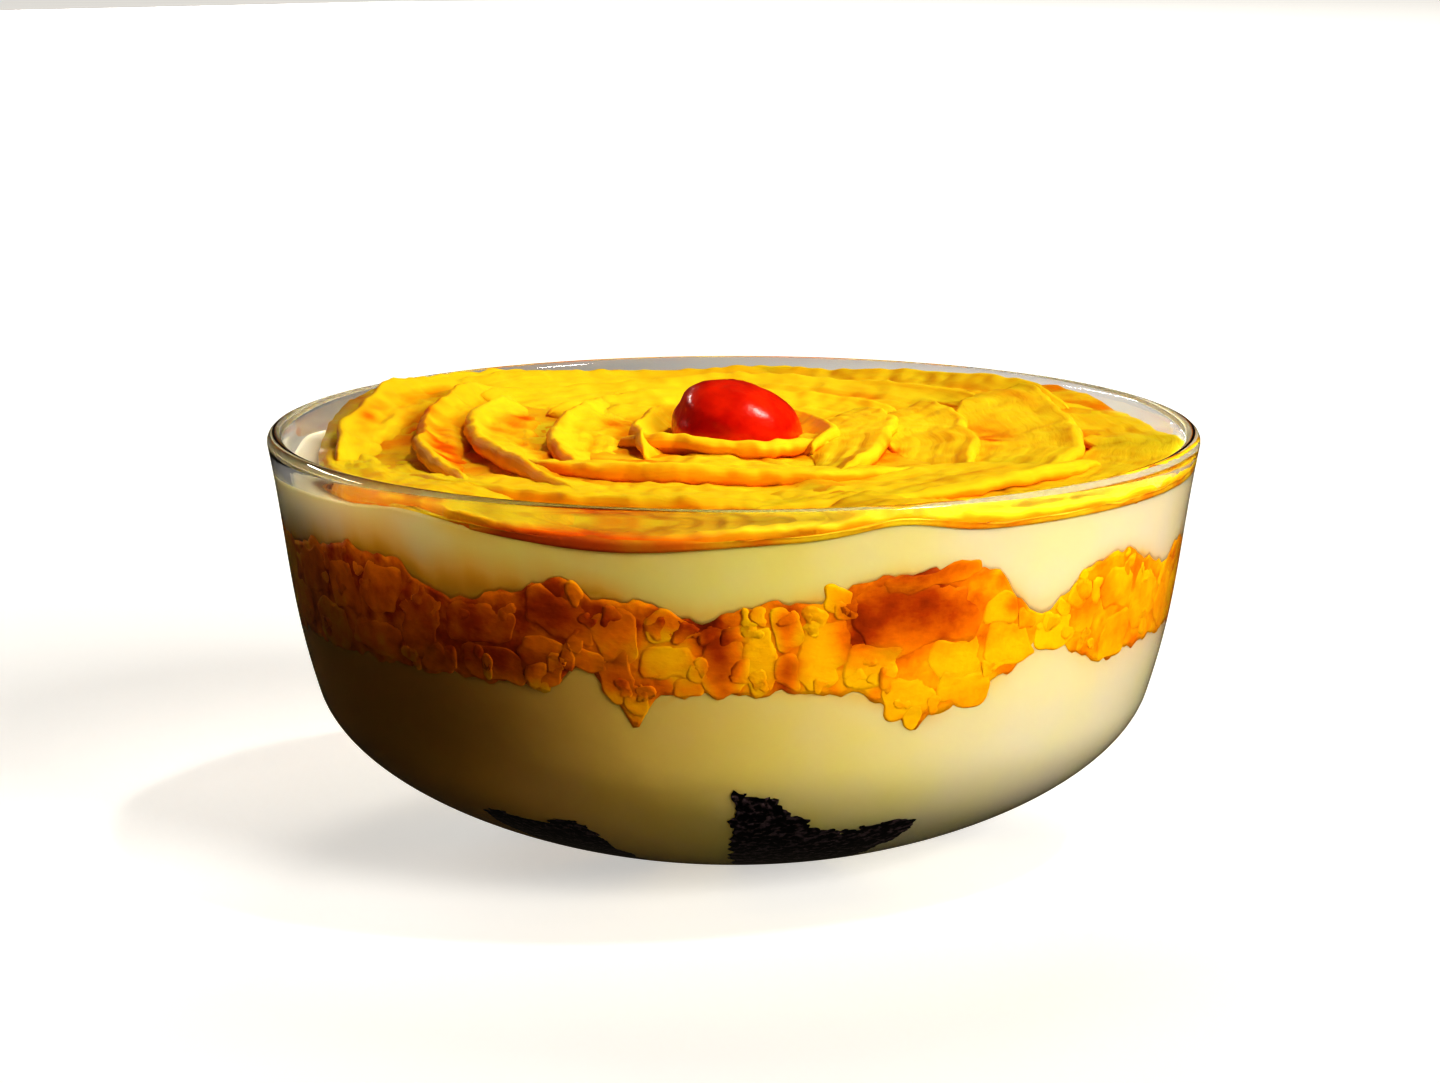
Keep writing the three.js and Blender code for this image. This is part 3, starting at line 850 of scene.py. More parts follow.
def place_mottle(tree, patch_scale, grain_scale):
    """Soft patches and fine grain over the object."""
    return place_group(
        tree, mottle_group(), object_place(tree), Patch_Scale=patch_scale, Grain_Scale=grain_scale
    )


def stored(tree, name, kind="Fac"):
    """The socket with a value stored on the mesh."""
    node = tree.nodes.new("ShaderNodeAttribute")
    node.attribute_name = name
    return node.outputs[kind]


def add_bump(tree, shader, height, depth):
    """Relief of a depth in mm."""
    node = tree.nodes.new("ShaderNodeBump")
    set_inputs(node, Strength=1.0, Distance=depth * MM)
    tree.links.new(height, node.inputs["Height"])
    tree.links.new(node.outputs["Normal"], shader.inputs["Normal"])


MANGO_DEPTH = {"Subsurface_Weight": 0.3, "Subsurface_Scale": 0.0016, "Subsurface_Radius": (1.0, 0.8, 0.3)}


def glass_material():
    """Clear pressed glass that lets lamps through to what it holds."""
    material, tree, shader = new_material("Clear glass")
    bowl = bpy.context.scene.trifle_bowl
    set_inputs(shader, Base_Color=(1, 1, 1, 1), Roughness=0.02, IOR=1.5, Transmission_Weight=1.0)
    ripples = place_mottle(tree, 45.0, 160.0)
    add_bump(tree, shader, ripples.outputs["Height"], 0.04)
    clear = tree.nodes.new("ShaderNodeBsdfTransparent")
    clear.inputs["Color"].default_value = (0.96, 0.96, 0.96, 1)
    path = tree.nodes.new("ShaderNodeLightPath")
    surface = mix_shaders(tree, path.outputs["Is Shadow Ray"], shader.outputs[0], clear.outputs[0])
    output = tree.nodes["Material Output"]
    tree.links.new(surface, output.inputs["Surface"])
    depth = tree.nodes.new("ShaderNodeVolumeAbsorption")
    depth.inputs["Color"].default_value = bowl.tint
    depth.inputs["Density"].default_value = bowl.density
    tree.links.new(depth.outputs[0], output.inputs["Volume"])
    return material


def cream_material():
    """Thick custard cream, stained by juice where it meets the mango, with painted shade in the darker
    soaked colour at the left.
    """
    if "Custard cream" in bpy.data.materials:
        return bpy.data.materials["Custard cream"]
    material, tree, shader = new_material("Custard cream")
    cream = bpy.context.scene.trifle_cream
    group = place_mottle(tree, 70.0, 260.0)
    patches = remap(tree, group.outputs["Patches"], 0.0, 1.0, -0.14, 0.14)
    thick = maths(tree, "ADD", stored(tree, "thick"), patches)
    body = blend_colour(tree, thick, tuple(cream.pale), tuple(cream.custard))
    stain = stored(tree, "stain")
    stained = blend_colour(tree, remap(tree, stain, 0.0, 1.0), body, tuple(cream.stain))
    # painted shade: the highest stain values, mostly at the left, go to the darker soaked colour
    soaked = remap(tree, stain, 0.6, 1.4)
    tone = blend_colour(tree, soaked, stained, tuple(cream.soaked))
    tree.links.new(tone, shader.inputs["Base Color"])
    set_inputs(shader, Roughness=0.5, Specular_IOR_Level=0.05)
    set_inputs(shader, Subsurface_Weight=0.5, Subsurface_Scale=0.004, Subsurface_Radius=(1.0, 0.8, 0.4))
    add_bump(tree, shader, group.outputs["Height"], 0.2)
    return material


def pulp_material():
    """Mango pulp under the slices."""
    material, tree, shader = new_material("Mango pulp")
    mango = bpy.context.scene.trifle_mango
    group = place_mottle(tree, 120.0, 900.0)
    body = blend_colour(tree, group.outputs["Patches"], tuple(mango.slice_face), tuple(mango.slice_deep))
    # the stored ripeness here is painted shade under the turned-down slices
    riper = remap(tree, stored(tree, "ripeness"), 0.0, 1.6)
    tree.links.new(blend_colour(tree, riper, body, tuple(mango.amber)), shader.inputs["Base Color"])
    set_inputs(shader, Roughness=0.4, Specular_IOR_Level=0.25)
    set_inputs(shader, **MANGO_DEPTH)
    add_bump(tree, shader, group.outputs["Height"], 0.4)
    return material


RIPE_STOPS = {"yellow": 0.1, "orange": 0.45, "amber": 0.78, "brown": 1.0}


def ripe_material(name, patch_scale, shift):
    """Mango flesh from yellow to brown amber by the ripeness stored on the mesh."""
    material, tree, shader = new_material(name)
    mango = bpy.context.scene.trifle_mango
    group = place_group(
        tree, flesh_group(), object_place(tree), Fibre_Scale=420.0, Patch_Scale=patch_scale, Stretch=0.5
    )
    patches = remap(tree, group.outputs["Patches"], 0.0, 1.0, -shift, shift)
    fibres = remap(tree, group.outputs["Fibres"], 0.0, 1.0, -0.05, 0.07)
    ripeness = maths(tree, "ADD", maths(tree, "ADD", stored(tree, "ripeness"), patches), fibres)
    ramp = tree.nodes.new("ShaderNodeValToRGB")
    stops = ramp.color_ramp.elements
    stops.remove(stops[1])
    stops[0].position, stops[0].color = RIPE_STOPS["yellow"], tuple(mango.yellow)
    for label in ("orange", "amber", "brown"):
        stops.new(RIPE_STOPS[label]).color = tuple(getattr(mango, label))
    tree.links.new(ripeness, ramp.inputs[0])
    tree.links.new(ramp.outputs["Color"], shader.inputs["Base Color"])
    set_inputs(shader, Roughness=0.35, Specular_IOR_Level=0.05)
    set_inputs(shader, **MANGO_DEPTH)
    add_bump(tree, shader, group.outputs["Height"], 0.3)
    return material


def slice_material():
    """Wet mango slices with fibres along their length."""
    material, tree, shader = new_material("Sliced mango")
    mango = bpy.context.scene.trifle_mango
    along = stored(tree, "flow", "Vector")
    group = place_group(tree, flesh_group(), along, Fibre_Scale=900.0, Patch_Scale=110.0, Stretch=0.1)
    fibres = remap(tree, group.outputs["Fibres"], 0.0, 1.0, 0.0, 0.15)
    patches = maths(tree, "MULTIPLY", group.outputs["Patches"], 0.2)
    # painted shade: the farther a point lies below its slice's crest, the deeper orange it is painted
    low = remap(tree, stored(tree, "depth"), 1.9, 4.8, 0.0, 0.9)
    # painted shade: slopes that face away from the key light are painted deeper orange
    turned = maths(tree, "MULTIPLY", stored(tree, "turned"), 0.55)
    share = maths(tree, "ADD", maths(tree, "ADD", fibres, patches), maths(tree, "ADD", low, turned))
    body = blend_colour(tree, share, tuple(mango.slice_face), tuple(mango.slice_deep))
    # ripeness: riper strokes, with painted shade in the hollows and under the turned-down slices
    ripeness = stored(tree, "ripeness")
    riper = blend_colour(tree, ripeness, body, tuple(mango.slice_ripe_and_shade))
    overripe = remap(tree, ripeness, 1.0, 2.0)
    tree.links.new(blend_colour(tree, overripe, riper, tuple(mango.amber)), shader.inputs["Base Color"])
    set_inputs(shader, Roughness=0.45, Specular_IOR_Level=0.06)
    set_inputs(shader, **MANGO_DEPTH)
    add_bump(tree, shader, group.outputs["Height"], 0.25)
    return material


def cherry_material():
    """Glossy red cherry in syrup."""
    material, tree, shader = new_material("Syrup cherry")
    cherry = bpy.context.scene.trifle_cherry
    group = place_mottle(tree, 140.0, 700.0)
    body = blend_colour(tree, group.outputs["Patches"], tuple(cherry.skin), tuple(cherry.deep))
    tree.links.new(body, shader.inputs["Base Color"])
    set_inputs(shader, Roughness=0.3, Specular_IOR_Level=0.3, Coat_Weight=0.5, Coat_Roughness=0.2)
    set_inputs(shader, Subsurface_Weight=0.3, Subsurface_Scale=0.003, Subsurface_Radius=(1.0, 0.08, 0.05))
    add_bump(tree, shader, group.outputs["Height"], 0.4)
    return material


def cake_material():
    """Moist dark cake crumb."""
    if "Dark cake" in bpy.data.materials:
        return bpy.data.materials["Dark cake"]
    material, tree, shader = new_material("Dark cake")
    cake = bpy.context.scene.trifle_cake
    group = place_mottle(tree, 850.0, 2400.0)
    specks = remap(tree, group.outputs["Patches"], 0.45, 1.0)
    tone = blend_colour(tree, specks, tuple(cake.dark), tuple(cake.crumb))
    tree.links.new(tone, shader.inputs["Base Color"])
    set_inputs(shader, Roughness=0.85, Specular_IOR_Level=0.05)
    add_bump(tree, shader, group.outputs["Height"], 0.8)
    return material


# ---------------------------------------------------------------- pieces


class PieceOperator:
    """Shared behaviour of the operators: a step that can't finish raises an error."""

    bl_options = {"REGISTER", "UNDO"}

    def execute(self, context):
        self.build(context)
        return {"FINISHED"}


class TRIFLE_OT_bowl(PieceOperator, bpy.types.Operator):
    """Clear glass bowl with a flat base, a flaring side and a rounded lip"""

    bl_idname = "trifle.bowl"
    bl_label = "Glass bowl"

    def build(self, context):
        bowl = context.scene.trifle_bowl
        outside = bowl_outline()
        inside = inset(outside, bowl.wall)
        middle = (outside[-1] + inside[-1]) / 2
        start = math.atan2(*(outside[-1] - middle)[::-1])
        turns = start + np.linspace(0, math.pi, 9)[1:-1]
        lip = middle + np.stack([np.cos(turns), np.sin(turns)], axis=1) * bowl.wall / 2
        section = np.vstack([outside, lip, inside[::-1]])
        angles = even_angles(180)
        rings = [polar(angles, radius, height) for radius, height in section]
        piece = ring_stack("glass_bowl", rings, (0, 0, 0), (0, 0, bowl.wall))
        settle(piece, glass_material(), "glass", "bowl")


def surface_rings(height, press, shares, lift=0.0):
    """Rings of a layer surface from the first share of the radius to the last."""
    angles = even_angles()
    rings = []
    for share in shares:
        edge = content_radius(height(angles, 1.0) + lift, press)
        rings.append(polar(angles, edge * share, height(angles, share) + lift))
    return rings


def side_rings(low, high, press, steps):
    """Rings up the wall between two layer surfaces."""
    angles = even_angles()
    rings = []
    for share in np.linspace(0, 1, steps + 2)[1:-1]:
        height = between(low(angles, 1.0), high(angles, 1.0), share)
        rings.append(polar(angles, content_radius(height, press), height))
    return rings


# How much farther than the cream the other layers reach into the wall, in mm
LAYER_STEPS = {"pulp": 0.1, "dice": 0.2, "bits": 0.28, "cake": 0.15}
CRUMB_LUMPS = ((0.6 * MM, 6 * MM, 0, 3), (0.4 * MM, 2.2 * MM, 40, 2))
DICE_LUMPS = ((0.42, 9, 0, 2), (0.2, 2.6, 90, 1))  # in mm
# Where the custard is thickest, where juice seeps into the lower cream, where it runs down the upper
# cream and where that is soaked from below: angle and spread in degrees. Seeping and soaking at the
# left are partly painted shade.
CUSTARD_AT, SEEPS_AND_SHADE_AT, RUNS_AT, SOAKED_AND_SHADE_AT = (-10, 40), (-56, 50), (-27, 30), (-40, 26)
SHELL_TOP = 30  # the lower cream follows the glass up to here, under its wavy edge, in mm
CAKE_CLING = 2.6  # cake nearer to the glass than this lies flat against it, in mm
# Shares of the radius at which a layer's surface has a ring of points
OUTWARDS = (0.05, 0.1, 0.16, 0.22, 0.3, 0.45, 0.6, 0.72, 0.8, 0.87, 0.92, 0.96, 0.985, 1.0)


def stain_near(points, surface, depth):
    """How much juice has soaked in, by the distance to a mango surface at the wall."""
    angle = angle_of(points)
    level = np.mean([surface(angle + turn, 1.0) for turn in (-4, -2, 0, 2, 4)], axis=0)
    away = np.abs(points[:, 2] - level) / depth
    uneven = 0.8 + 0.3 * soft_noise(points, 14 * MM, 5)
    return np.exp(-away) * uneven


def thickness_of(points):
    """How much of the cream is custard: most in front."""
    return between(0.2, 1, bell(angle_of(points), *CUSTARD_AT))


class TRIFLE_OT_cream(PieceOperator, bpy.types.Operator):
    """The two layers of custard cream, pressed against the glass"""

    bl_idname = "trifle.cream"
    bl_label = "Custard cream"

    def build(self, context):
        self.lower(context.scene.trifle_bowl)
        self.upper(context.scene.trifle_bowl)

    def lower(self, bowl):
        wall = inset(bowl_outline(), bowl.wall - bowl.press)
        angles = even_angles()
        shell = [polar(angles, radius, height) for radius, height in wall if height < SHELL_TOP * MM]
        start = shell[-1][:, 2]

        def from_shell(angle, share):
            return np.interp(angle, angles, start)

        rings = shell + side_rings(from_shell, mango_bottom, bowl.press, 8)
        rings += surface_rings(mango_bottom, bowl.press, OUTWARDS[::-1])
        floor = (0, 0, wall[0][1])
        top = (0, 0, mango_bottom(0.0, 0.0))
        piece = ring_stack("cream_lower_fill", rings, floor, top)
        points = points_of(piece)
        # painted shade: the seeped stain darkens the lower cream's left side, partly juice
        seeped = 0.9 * bell(angle_of(points), *SEEPS_AND_SHADE_AT)
        add_values(piece, "stain", np.maximum(seeped, 0.6 * stain_near(points, mango_bottom, 1.6 * MM)))
        add_values(piece, "thick", thickness_of(points))
        settle(piece, cream_material(), "cream", "cream_lower")

    def upper(self, bowl):
        rings = surface_rings(mango_top, bowl.press, OUTWARDS)
        rings += side_rings(mango_top, cream_top, bowl.press, 14)
        rings += surface_rings(cream_top, bowl.press, OUTWARDS[::-1])
        poles = [(0, 0, float(surface(0.0, 0.0))) for surface in (mango_top, cream_top)]
        piece = ring_stack("cream_upper_fill", rings, *poles)
        points = points_of(piece)
        angle = angle_of(points)
        runs = 0.12 + 0.5 * bell(angle, *RUNS_AT)
        from_above = runs * stain_near(points, cream_top, 4.5 * MM)
        # the soaking from below is stronger and deeper at the left, partly painted shade
        soak = bell(angle, *SOAKED_AND_SHADE_AT)
        from_below = (0.6 + 0.9 * soak) * stain_near(points, mango_top, (1.2 + 4.4 * soak) * MM)
        add_values(piece, "stain", np.maximum(from_above, from_below))
        add_values(piece, "thick", thickness_of(points))
        settle(piece, cream_material(), "cream", "cream_upper")


class TRIFLE_OT_cake(PieceOperator, bpy.types.Operator):
    """Dark cake pieces round the bottom, with a crumbly surface"""

    bl_idname = "trifle.cake"
    bl_label = "Cake pieces"

    def build(self, context):
        bowl = context.scene.trifle_bowl
        cake = context.scene.trifle_cake
        for seed, node in enumerate(CAKE_NODES):
            piece = bpy.data.objects.new(f"crumb_{node}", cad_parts[node].data.copy())
            context.scene.collection.objects.link(piece)
            remesh = piece.modifiers.new("Remesh", "REMESH")
            remesh.mode = "VOXEL"
            remesh.voxel_size = cake.voxel
            remesh.use_smooth_shade = True
            graph = context.evaluated_depsgraph_get()
            piece.data = bpy.data.meshes.new_from_object(piece.evaluated_get(graph))
            piece.modifiers.clear()
            self.crumble(piece, bowl, seed)
            settle(piece, cake_material(), "cake", node)

    def crumble(self, piece, bowl, seed):
        points = points_of(piece)
        points = points + normals_of(piece) * lumps_at(points, CRUMB_LUMPS, seed)[:, None]
        move_points(piece, pressed(points, bowl.press + LAYER_STEPS["cake"] * MM, CAKE_CLING * MM))


def rounded_cube(steps, roundness):
    """Points and faces of a unit cube with rounded edges. Its faces look inwards until it is mirrored
    as it is set against the glass."""
    grid = np.linspace(-1, 1, steps + 1)
    index = {}
    points = []
    faces = []

    def point(corner):
        key = tuple(np.round(corner, 6))
        if key not in index:
            index[key] = len(points)
            inner = np.clip(np.array(corner), -roundness, roundness)
            away = np.array(corner) - inner
            far = np.linalg.norm(away)
            points.append(inner + away / far * (1 - roundness) if far > 1e-9 else inner)
        return index[key]

    for axis in range(3):
        for side in (-1, 1):
            others = [a for a in range(3) if a != axis]
            for i in range(steps):
                for j in range(steps):
                    square = []
                    for u, v in ((i, j), (i + 1, j), (i + 1, j + 1), (i, j + 1)):
                        corner = [0.0, 0.0, 0.0]
                        corner[axis] = side
                        corner[others[0]] = grid[u]
                        corner[others[1]] = grid[v]
                        square.append(point(corner))
                    outwards = (side > 0) == (axis == 1)
                    faces.append(square if outwards else square[::-1])
    return np.array(points), faces


class TRIFLE_OT_mango_layer(PieceOperator, bpy.types.Operator):
    """Diced mango against the glass, and the juice and pulp between it"""

    bl_idname = "trifle.mango_layer"
    bl_label = "Mango layer"

    def build(self, context):
        cream_press = context.scene.trifle_bowl.press
        press = cream_press + LAYER_STEPS["pulp"] * MM
        sink = -0.4 * MM
        rings = surface_rings(mango_bottom, press, OUTWARDS, sink)
        rings += side_rings(lambda a, s: mango_bottom(a, s) + sink, mango_top, press, 16)
        rings += surface_rings(mango_top, press, OUTWARDS[::-1])
        low = (0, 0, float(mango_bottom(0.0, 0.0)) + sink)
        high = (0, 0, float(mango_top(0.0, 0.0)))
        pulp = ring_stack("mango_pulp", rings, low, high)
        add_values(pulp, "ripeness", ripeness_at(points_of(pulp)) + 0.14)
        settle(pulp, ripe_material("Mango juice", 220.0, 0.16), "mango_pieces", "mango_layer")
        self.dice(cream_press + LAYER_STEPS["dice"] * MM)
        self.bits(cream_press + LAYER_STEPS["bits"] * MM)

    def bits(self, press):
        rng = np.random.default_rng(23)
        shape, faces = rounded_cube(5, 0.2)
        points, ripeness = [], []
        for number in range(BITS["count"]):
            angle = rng.uniform(-180, 180)
            size = rng.uniform(*BITS["size"])
            low, high = (float(surface(angle, 1.0)) / MM for surface in (mango_bottom, mango_top))
            share = rng.uniform(0, 1)
            share = share * 0.3 if number % 2 else 1 - share * 0.3
            height = low + 0.35 * size + (high - low - 0.7 * size) * share
            first, last, lowest = BITS["bare"]
            if first < angle < last and height > lowest:
                continue
            body = shape * size / 2 * rng.uniform(0.7, 1.4, 3)
            body = body + shape * (0.3 * size * soft_noise(body, 0.9 * size, number, 1))[:, None]
            placed = self.against_glass(body, angle, height, rng.uniform(-60, 60), size * 0.4, press) * MM
            points.append(held_in(placed, press))
            ripeness.append(ripeness_at(placed) + rng.uniform(-0.16, 0.14))
        self.put_together("mango_bits", points, faces, ripeness, ripe_material("Mango bits", 300.0, 0.08))

    def against_glass(self, body, angle, height, spin, depth, press):
        """Points in mm, turned by `spin` and set against the glass at an angle and height."""
        spin = math.radians(spin)
        turn = math.radians(angle)
        x = body[:, 0] * math.cos(spin) - body[:, 2] * math.sin(spin)
        z = body[:, 0] * math.sin(spin) + body[:, 2] * math.cos(spin)
        outwards = content_radius(height * MM, press) / MM - depth + body[:, 1]
        across = x * math.cos(turn) + outwards * math.sin(turn)
        along = x * math.sin(turn) - outwards * math.cos(turn)
        return np.stack([across, along, z + height], axis=1)

    def dice(self, press):
        rng = np.random.default_rng(BACK_DICE["seed"])
        layout = list(LAID_DICE)
        for row, height in enumerate(BACK_DICE["rows"]):
            for angle in np.arange(BACK_DICE["first"] + row * 4, BACK_DICE["last"], BACK_DICE["step"]):
                level, width, tall = height + rng.uniform(-2, 2), rng.uniform(8, 13), rng.uniform(7, 10)
                layout.append((angle, level, width, tall))
        shape, faces = rounded_cube(12, 0.3)
        points, ripeness = [], []
        for number, (angle, height, width, tall) in enumerate(layout):
            depth = rng.uniform(7, 10)
            body = shape * np.array([width, depth, tall]) / 2
            flow = body * np.array([1.0, 0.0, 1.0])
            warp = [1.0 * soft_noise(flow, 9, number + way, 2) for way in (0, 200)]
            body[:, 0] += warp[0] * min(1, width / 9)
            body[:, 2] += warp[1] * min(1, tall / 9)
            body = body + shape * lumps_at(body, DICE_LUMPS, number)[:, None]
            spin = rng.uniform(-1, 1) * (24 if max(width, tall) < 10 else 9)
            placed = self.against_glass(body, angle, height, spin, depth / 2 - 0.9, press)
            placed = held_in(placed * MM, press + (number % 5) * 0.012 * MM)
            points.append(placed)
            # painted shade: each dice is painted riper towards its rim, where the pieces meet, partly
            # juicier flesh
            reach = np.maximum(np.abs(shape[:, 0]), np.abs(shape[:, 2]))
            edge = np.clip((reach - 0.6) / 0.36, 0, 1) ** 2
            edge *= 0.14 * np.clip(0.6 + soft_noise(placed, 5 * MM, number), 0, 1.6)
            ripeness.append(ripeness_at(placed) + rng.uniform(-0.12, 0.1) + edge)
        self.put_together("mango_dice", points, faces, ripeness, ripe_material("Diced mango", 120.0, 0.1))

    def put_together(self, name, bodies, faces, ripeness, material):
        """One object of many bodies that all have the same faces."""
        starts = [number * len(body) for number, body in enumerate(bodies)]
        all_faces = [[start + corner for corner in face] for start in starts for face in faces]
        piece = make_mesh(name, np.vstack(bodies), all_faces)
        add_values(piece, "ripeness", np.concatenate(ripeness))
        settle(piece, material, "mango_pieces", "mango_layer")


# Shares of the radius at which the core of the rose has a ring of points
CORE_SHARES = (0.06, 0.1, 0.14, 0.18, 0.22, 0.28, 0.36, 0.45, 0.55, 0.65, 0.74, 0.82, 0.9, 0.96, 1.0)


class TRIFLE_OT_rose(PieceOperator, bpy.types.Operator):
    """Rose of thin mango slices on a core of pulp"""

    bl_idname = "trifle.rose"
    bl_label = "Mango rose"

    def build(self, context):
        self.core()
        self.slices(context.scene.trifle_rose, context.scene.trifle_bowl.press)

    def core(self):
        angles = even_angles(200)
        margin, sunk = CORE["margin"] * MM, CORE["sunk"] * MM

        def top(angle, radius):
            hollow = np.clip(1.5 - radius / (CORE["hollow_radius"] * MM), 0, 1)
            below = (CORE["below"] + CORE["hollow"] * hollow) * MM
            return np.maximum(rose_height(angle, radius) - below, cream_top(angle, 1.0) + 0.3 * MM)

        rings = []
        for share in CORE_SHARES:
            height = cream_top(angles, share) - sunk
            rings.append(polar(angles, share * (rose_reach(angles, height) + margin), height))
        low_edge, high_edge = rings[-1][:, 2], cream_top(angles, 1.0) + CORE["edge"] * MM
        for share in (0.3, 0.6):
            height = between(low_edge, high_edge, share)
            rings.append(polar(angles, rose_reach(angles, height) + margin, height))
        for share in CORE_SHARES[::-1]:
            radius = share * (rose_reach(angles, high_edge) + margin)
            height = np.maximum(top(angles, radius), cream_top(angles, share) + 0.2 * MM)
            ring = polar(angles, radius, height)
            ring[:, 2] += 0.35 * MM * soft_noise(ring, 7 * MM, 3)
            rings.append(ring)
        low = (0, 0, float(cream_top(0.0, 0.0)) - sunk)
        high = (0, 0, float(cream_top(0.0, 0.0)) + 1.2 * MM)
        piece = ring_stack("rose_core", rings, low, high)
        # the core's ripeness is only the painted shade under the turned-down slices
        add_values(piece, "ripeness", self.under_edge_shade(points_of(piece)))
        settle(piece, pulp_material(), "mango_slices", "mango_rose")

    def slices(self, rose, press):
        rng = np.random.default_rng(7)
        parts = []
        s = np.linspace(0, 1, SLICE_STEPS)
        for first, last, radius, flare_in, flare_out, width, fall, lift in LAID_SLICES:
            angles = first + (last - first) * s
            flare = flare_in * np.clip(1 - 2 * s, 0, 1) ** 1.8
            flare = flare + flare_out * np.clip(2 * s - 1, 0, 1) ** 1.8
            phase = rng.uniform(0, 2 * math.pi, 3)
            ripple = sum(far * np.sin(at + fast * s) for at, (far, fast) in zip(phase, CREST_WEAVES))
            crest = np.minimum((radius + flare + ripple) * MM, rose_reach(angles, 0.065) - 2.0 * MM)
            wave = CREST_WAVE[0] * np.sin(phase[2] + CREST_WAVE[1] * s)
            height = rose_height(angles, crest) + (lift + wave) * MM
            sizes = (width * MM, fall * MM, LAID_SAG * MM)
            parts.append(self.one_slice(rose, angles, crest, height, *sizes, press, rng))
        for first, last in EDGE_SLICES:
            angles = np.linspace(first, last, SLICE_STEPS)
            height = cream_top(angles, 1.0) + rose.thickness * 0.5 + 0.9 * MM
            crest = rose_reach(angles, height) + press
            front = (1 + np.cos(np.radians(angles))) / 2
            flat = rose_height(angles, crest) - rose.edge_fall * between(0.2, 1, front)
            flat = flat - rose.thickness / 2
            fall = np.minimum(height - flat, -0.1 * MM)
            height = height + 0.12 * MM * np.sin(angles * 0.31)
            tips = np.clip(1 - np.minimum(angles - first, last - angles) / EDGE["tip"], 0, 1)
            crest = crest - EDGE["tip_inwards"] * MM * tips**2
            sizes = (EDGE["width"] * MM, fall, EDGE["sag"] * MM)
            parts.append(self.one_slice(rose, angles, crest, height, *sizes, press, rng))
        bodies, shapes, flows, depths = zip(*parts)
        starts = np.cumsum([0, *map(len, bodies)])
        faces = []
        for start, shape in zip(starts, shapes):
            faces += [[start + corner for corner in face] for face in shape]
        points = np.vstack(bodies)
        piece = make_mesh("mango_slices", points, faces)
        add_vectors(piece, "flow", np.vstack(flows))
        add_values(piece, "depth", np.concatenate(depths))
        # painted shade: how far each point of the slices faces away from the key light
        turned = np.clip(LEAN["from"] - normals_of(piece) @ KEY_LIGHT_SIDE, 0, LEAN["over"]) / LEAN["over"]
        add_values(piece, "turned", turned)
        # ripeness: riper strokes with painted shade in the hollows, plus painted shade under the turned-down
        # slices
        add_values(piece, "ripeness", self.ripe_and_shade_at(points) + self.under_edge_shade(points))
        settle(piece, slice_material(), "mango_slices", "mango_rose")

    def one_slice(self, rose, angles, crest, height, width, fall, sag, press, rng):
        """One slice: a bar with round edges swept round the cherry, that falls behind its crest."""
        steps = len(angles) - 1
        fall = np.broadcast_to(fall, angles.shape)
        tone = rng.uniform(0, 10)
        around_edge = [math.radians(turn) for turn in np.linspace(-90, 90, 9)]
        across = np.linspace(0, 1, 27)[1:]
        below = slice(None, None, 4)
        body, flow, depth = [], [], []
        for i, angle in enumerate(angles):
            s = i / steps
            ends = max(0.0, 1 - abs(2 * s - 1) ** 3.2) ** 0.5
            half = rose.thickness / 2 * between(SLICE_ENDS["thick"], 1, ends)
            wide = width * between(SLICE_ENDS["wide"], 1, ends)
            sink = sag * (1 - ends) ** 1.2
            far = half + across * (wide - half)
            middle = -fall[i] * (1 - np.exp(-(far - half) / rose.fold)) - 0.03 * far
            thick = half * (1 - SLICE_THINS * across**2)
            outer = [(-half + half * math.cos(turn), half * math.sin(turn)) for turn in around_edge]
            upper = np.stack([-far, middle + thick], axis=1)
            lower = np.stack([-far, middle - thick], axis=1)[below]
            inner = [(-wide - 0.5 * thick[-1], middle[-1])]
            loop = np.vstack([outer, upper, inner, lower[::-1]])
            radius = crest[i] + loop[:, 0]
            level = height[i] - rose.thickness / 2 + loop[:, 1] - sink
            body.append(polar(angle, radius, level))
            length_along = math.radians(angle) * crest[i]
            place_across = -loop[:, 0] + loop[:, 1]
            steady = [np.full(len(loop), value) for value in (length_along, tone)]
            flow.append(np.stack([steady[0], place_across, steady[1]], axis=1))
            # depth below the slice's top; the material paints deeper parts orange as painted shade in the
            # folds
            depth.append(half - loop[:, 1])
        count = len(body[0])
        faces = [face[::-1] for face in ring_faces(steps + 1, count)]
        points = np.vstack([[body[0].mean(axis=0)], *body, [body[-1].mean(axis=0)]])
        flows = np.vstack([flow[0][:1], *flow, flow[-1][:1]])
        depths = np.concatenate([depth[0][:1], *depth, depth[-1][:1]]) / MM
        points += np.stack([soft_noise(points, 14 * MM, 31 + a) for a in range(3)], axis=1) * 0.22 * MM
        relief, ragged = self.strokes(points, flows)
        points = points + np.array([0, 0, MM]) * relief[:, None] + ragged * MM
        # hollows in the relief count as deeper, so they get the painted fold shade too
        return held_in(points, press), faces, flows, depths - 3.0 * relief

    def ripe_and_shade_at(self, points):
        """How ripe the slices are at each point, with painted shade in the rose's hollows and folds."""
        angle, radius = angle_of(points), np.hypot(points[:, 0], points[:, 1]) / MM
        ripe = np.zeros(len(points))
        for at, out, spread, wide, more in ROSE_RIPE_AND_SHADE_STROKES:
            away = ((angle - at + 540) % 360 - 180) / spread
            ripe += more * np.exp(-(away**2) - ((radius - out) / wide) ** 2)
        return ripe * np.clip(1 + 0.6 * soft_noise(points, 5 * MM, 91), 0.2, 1.8)

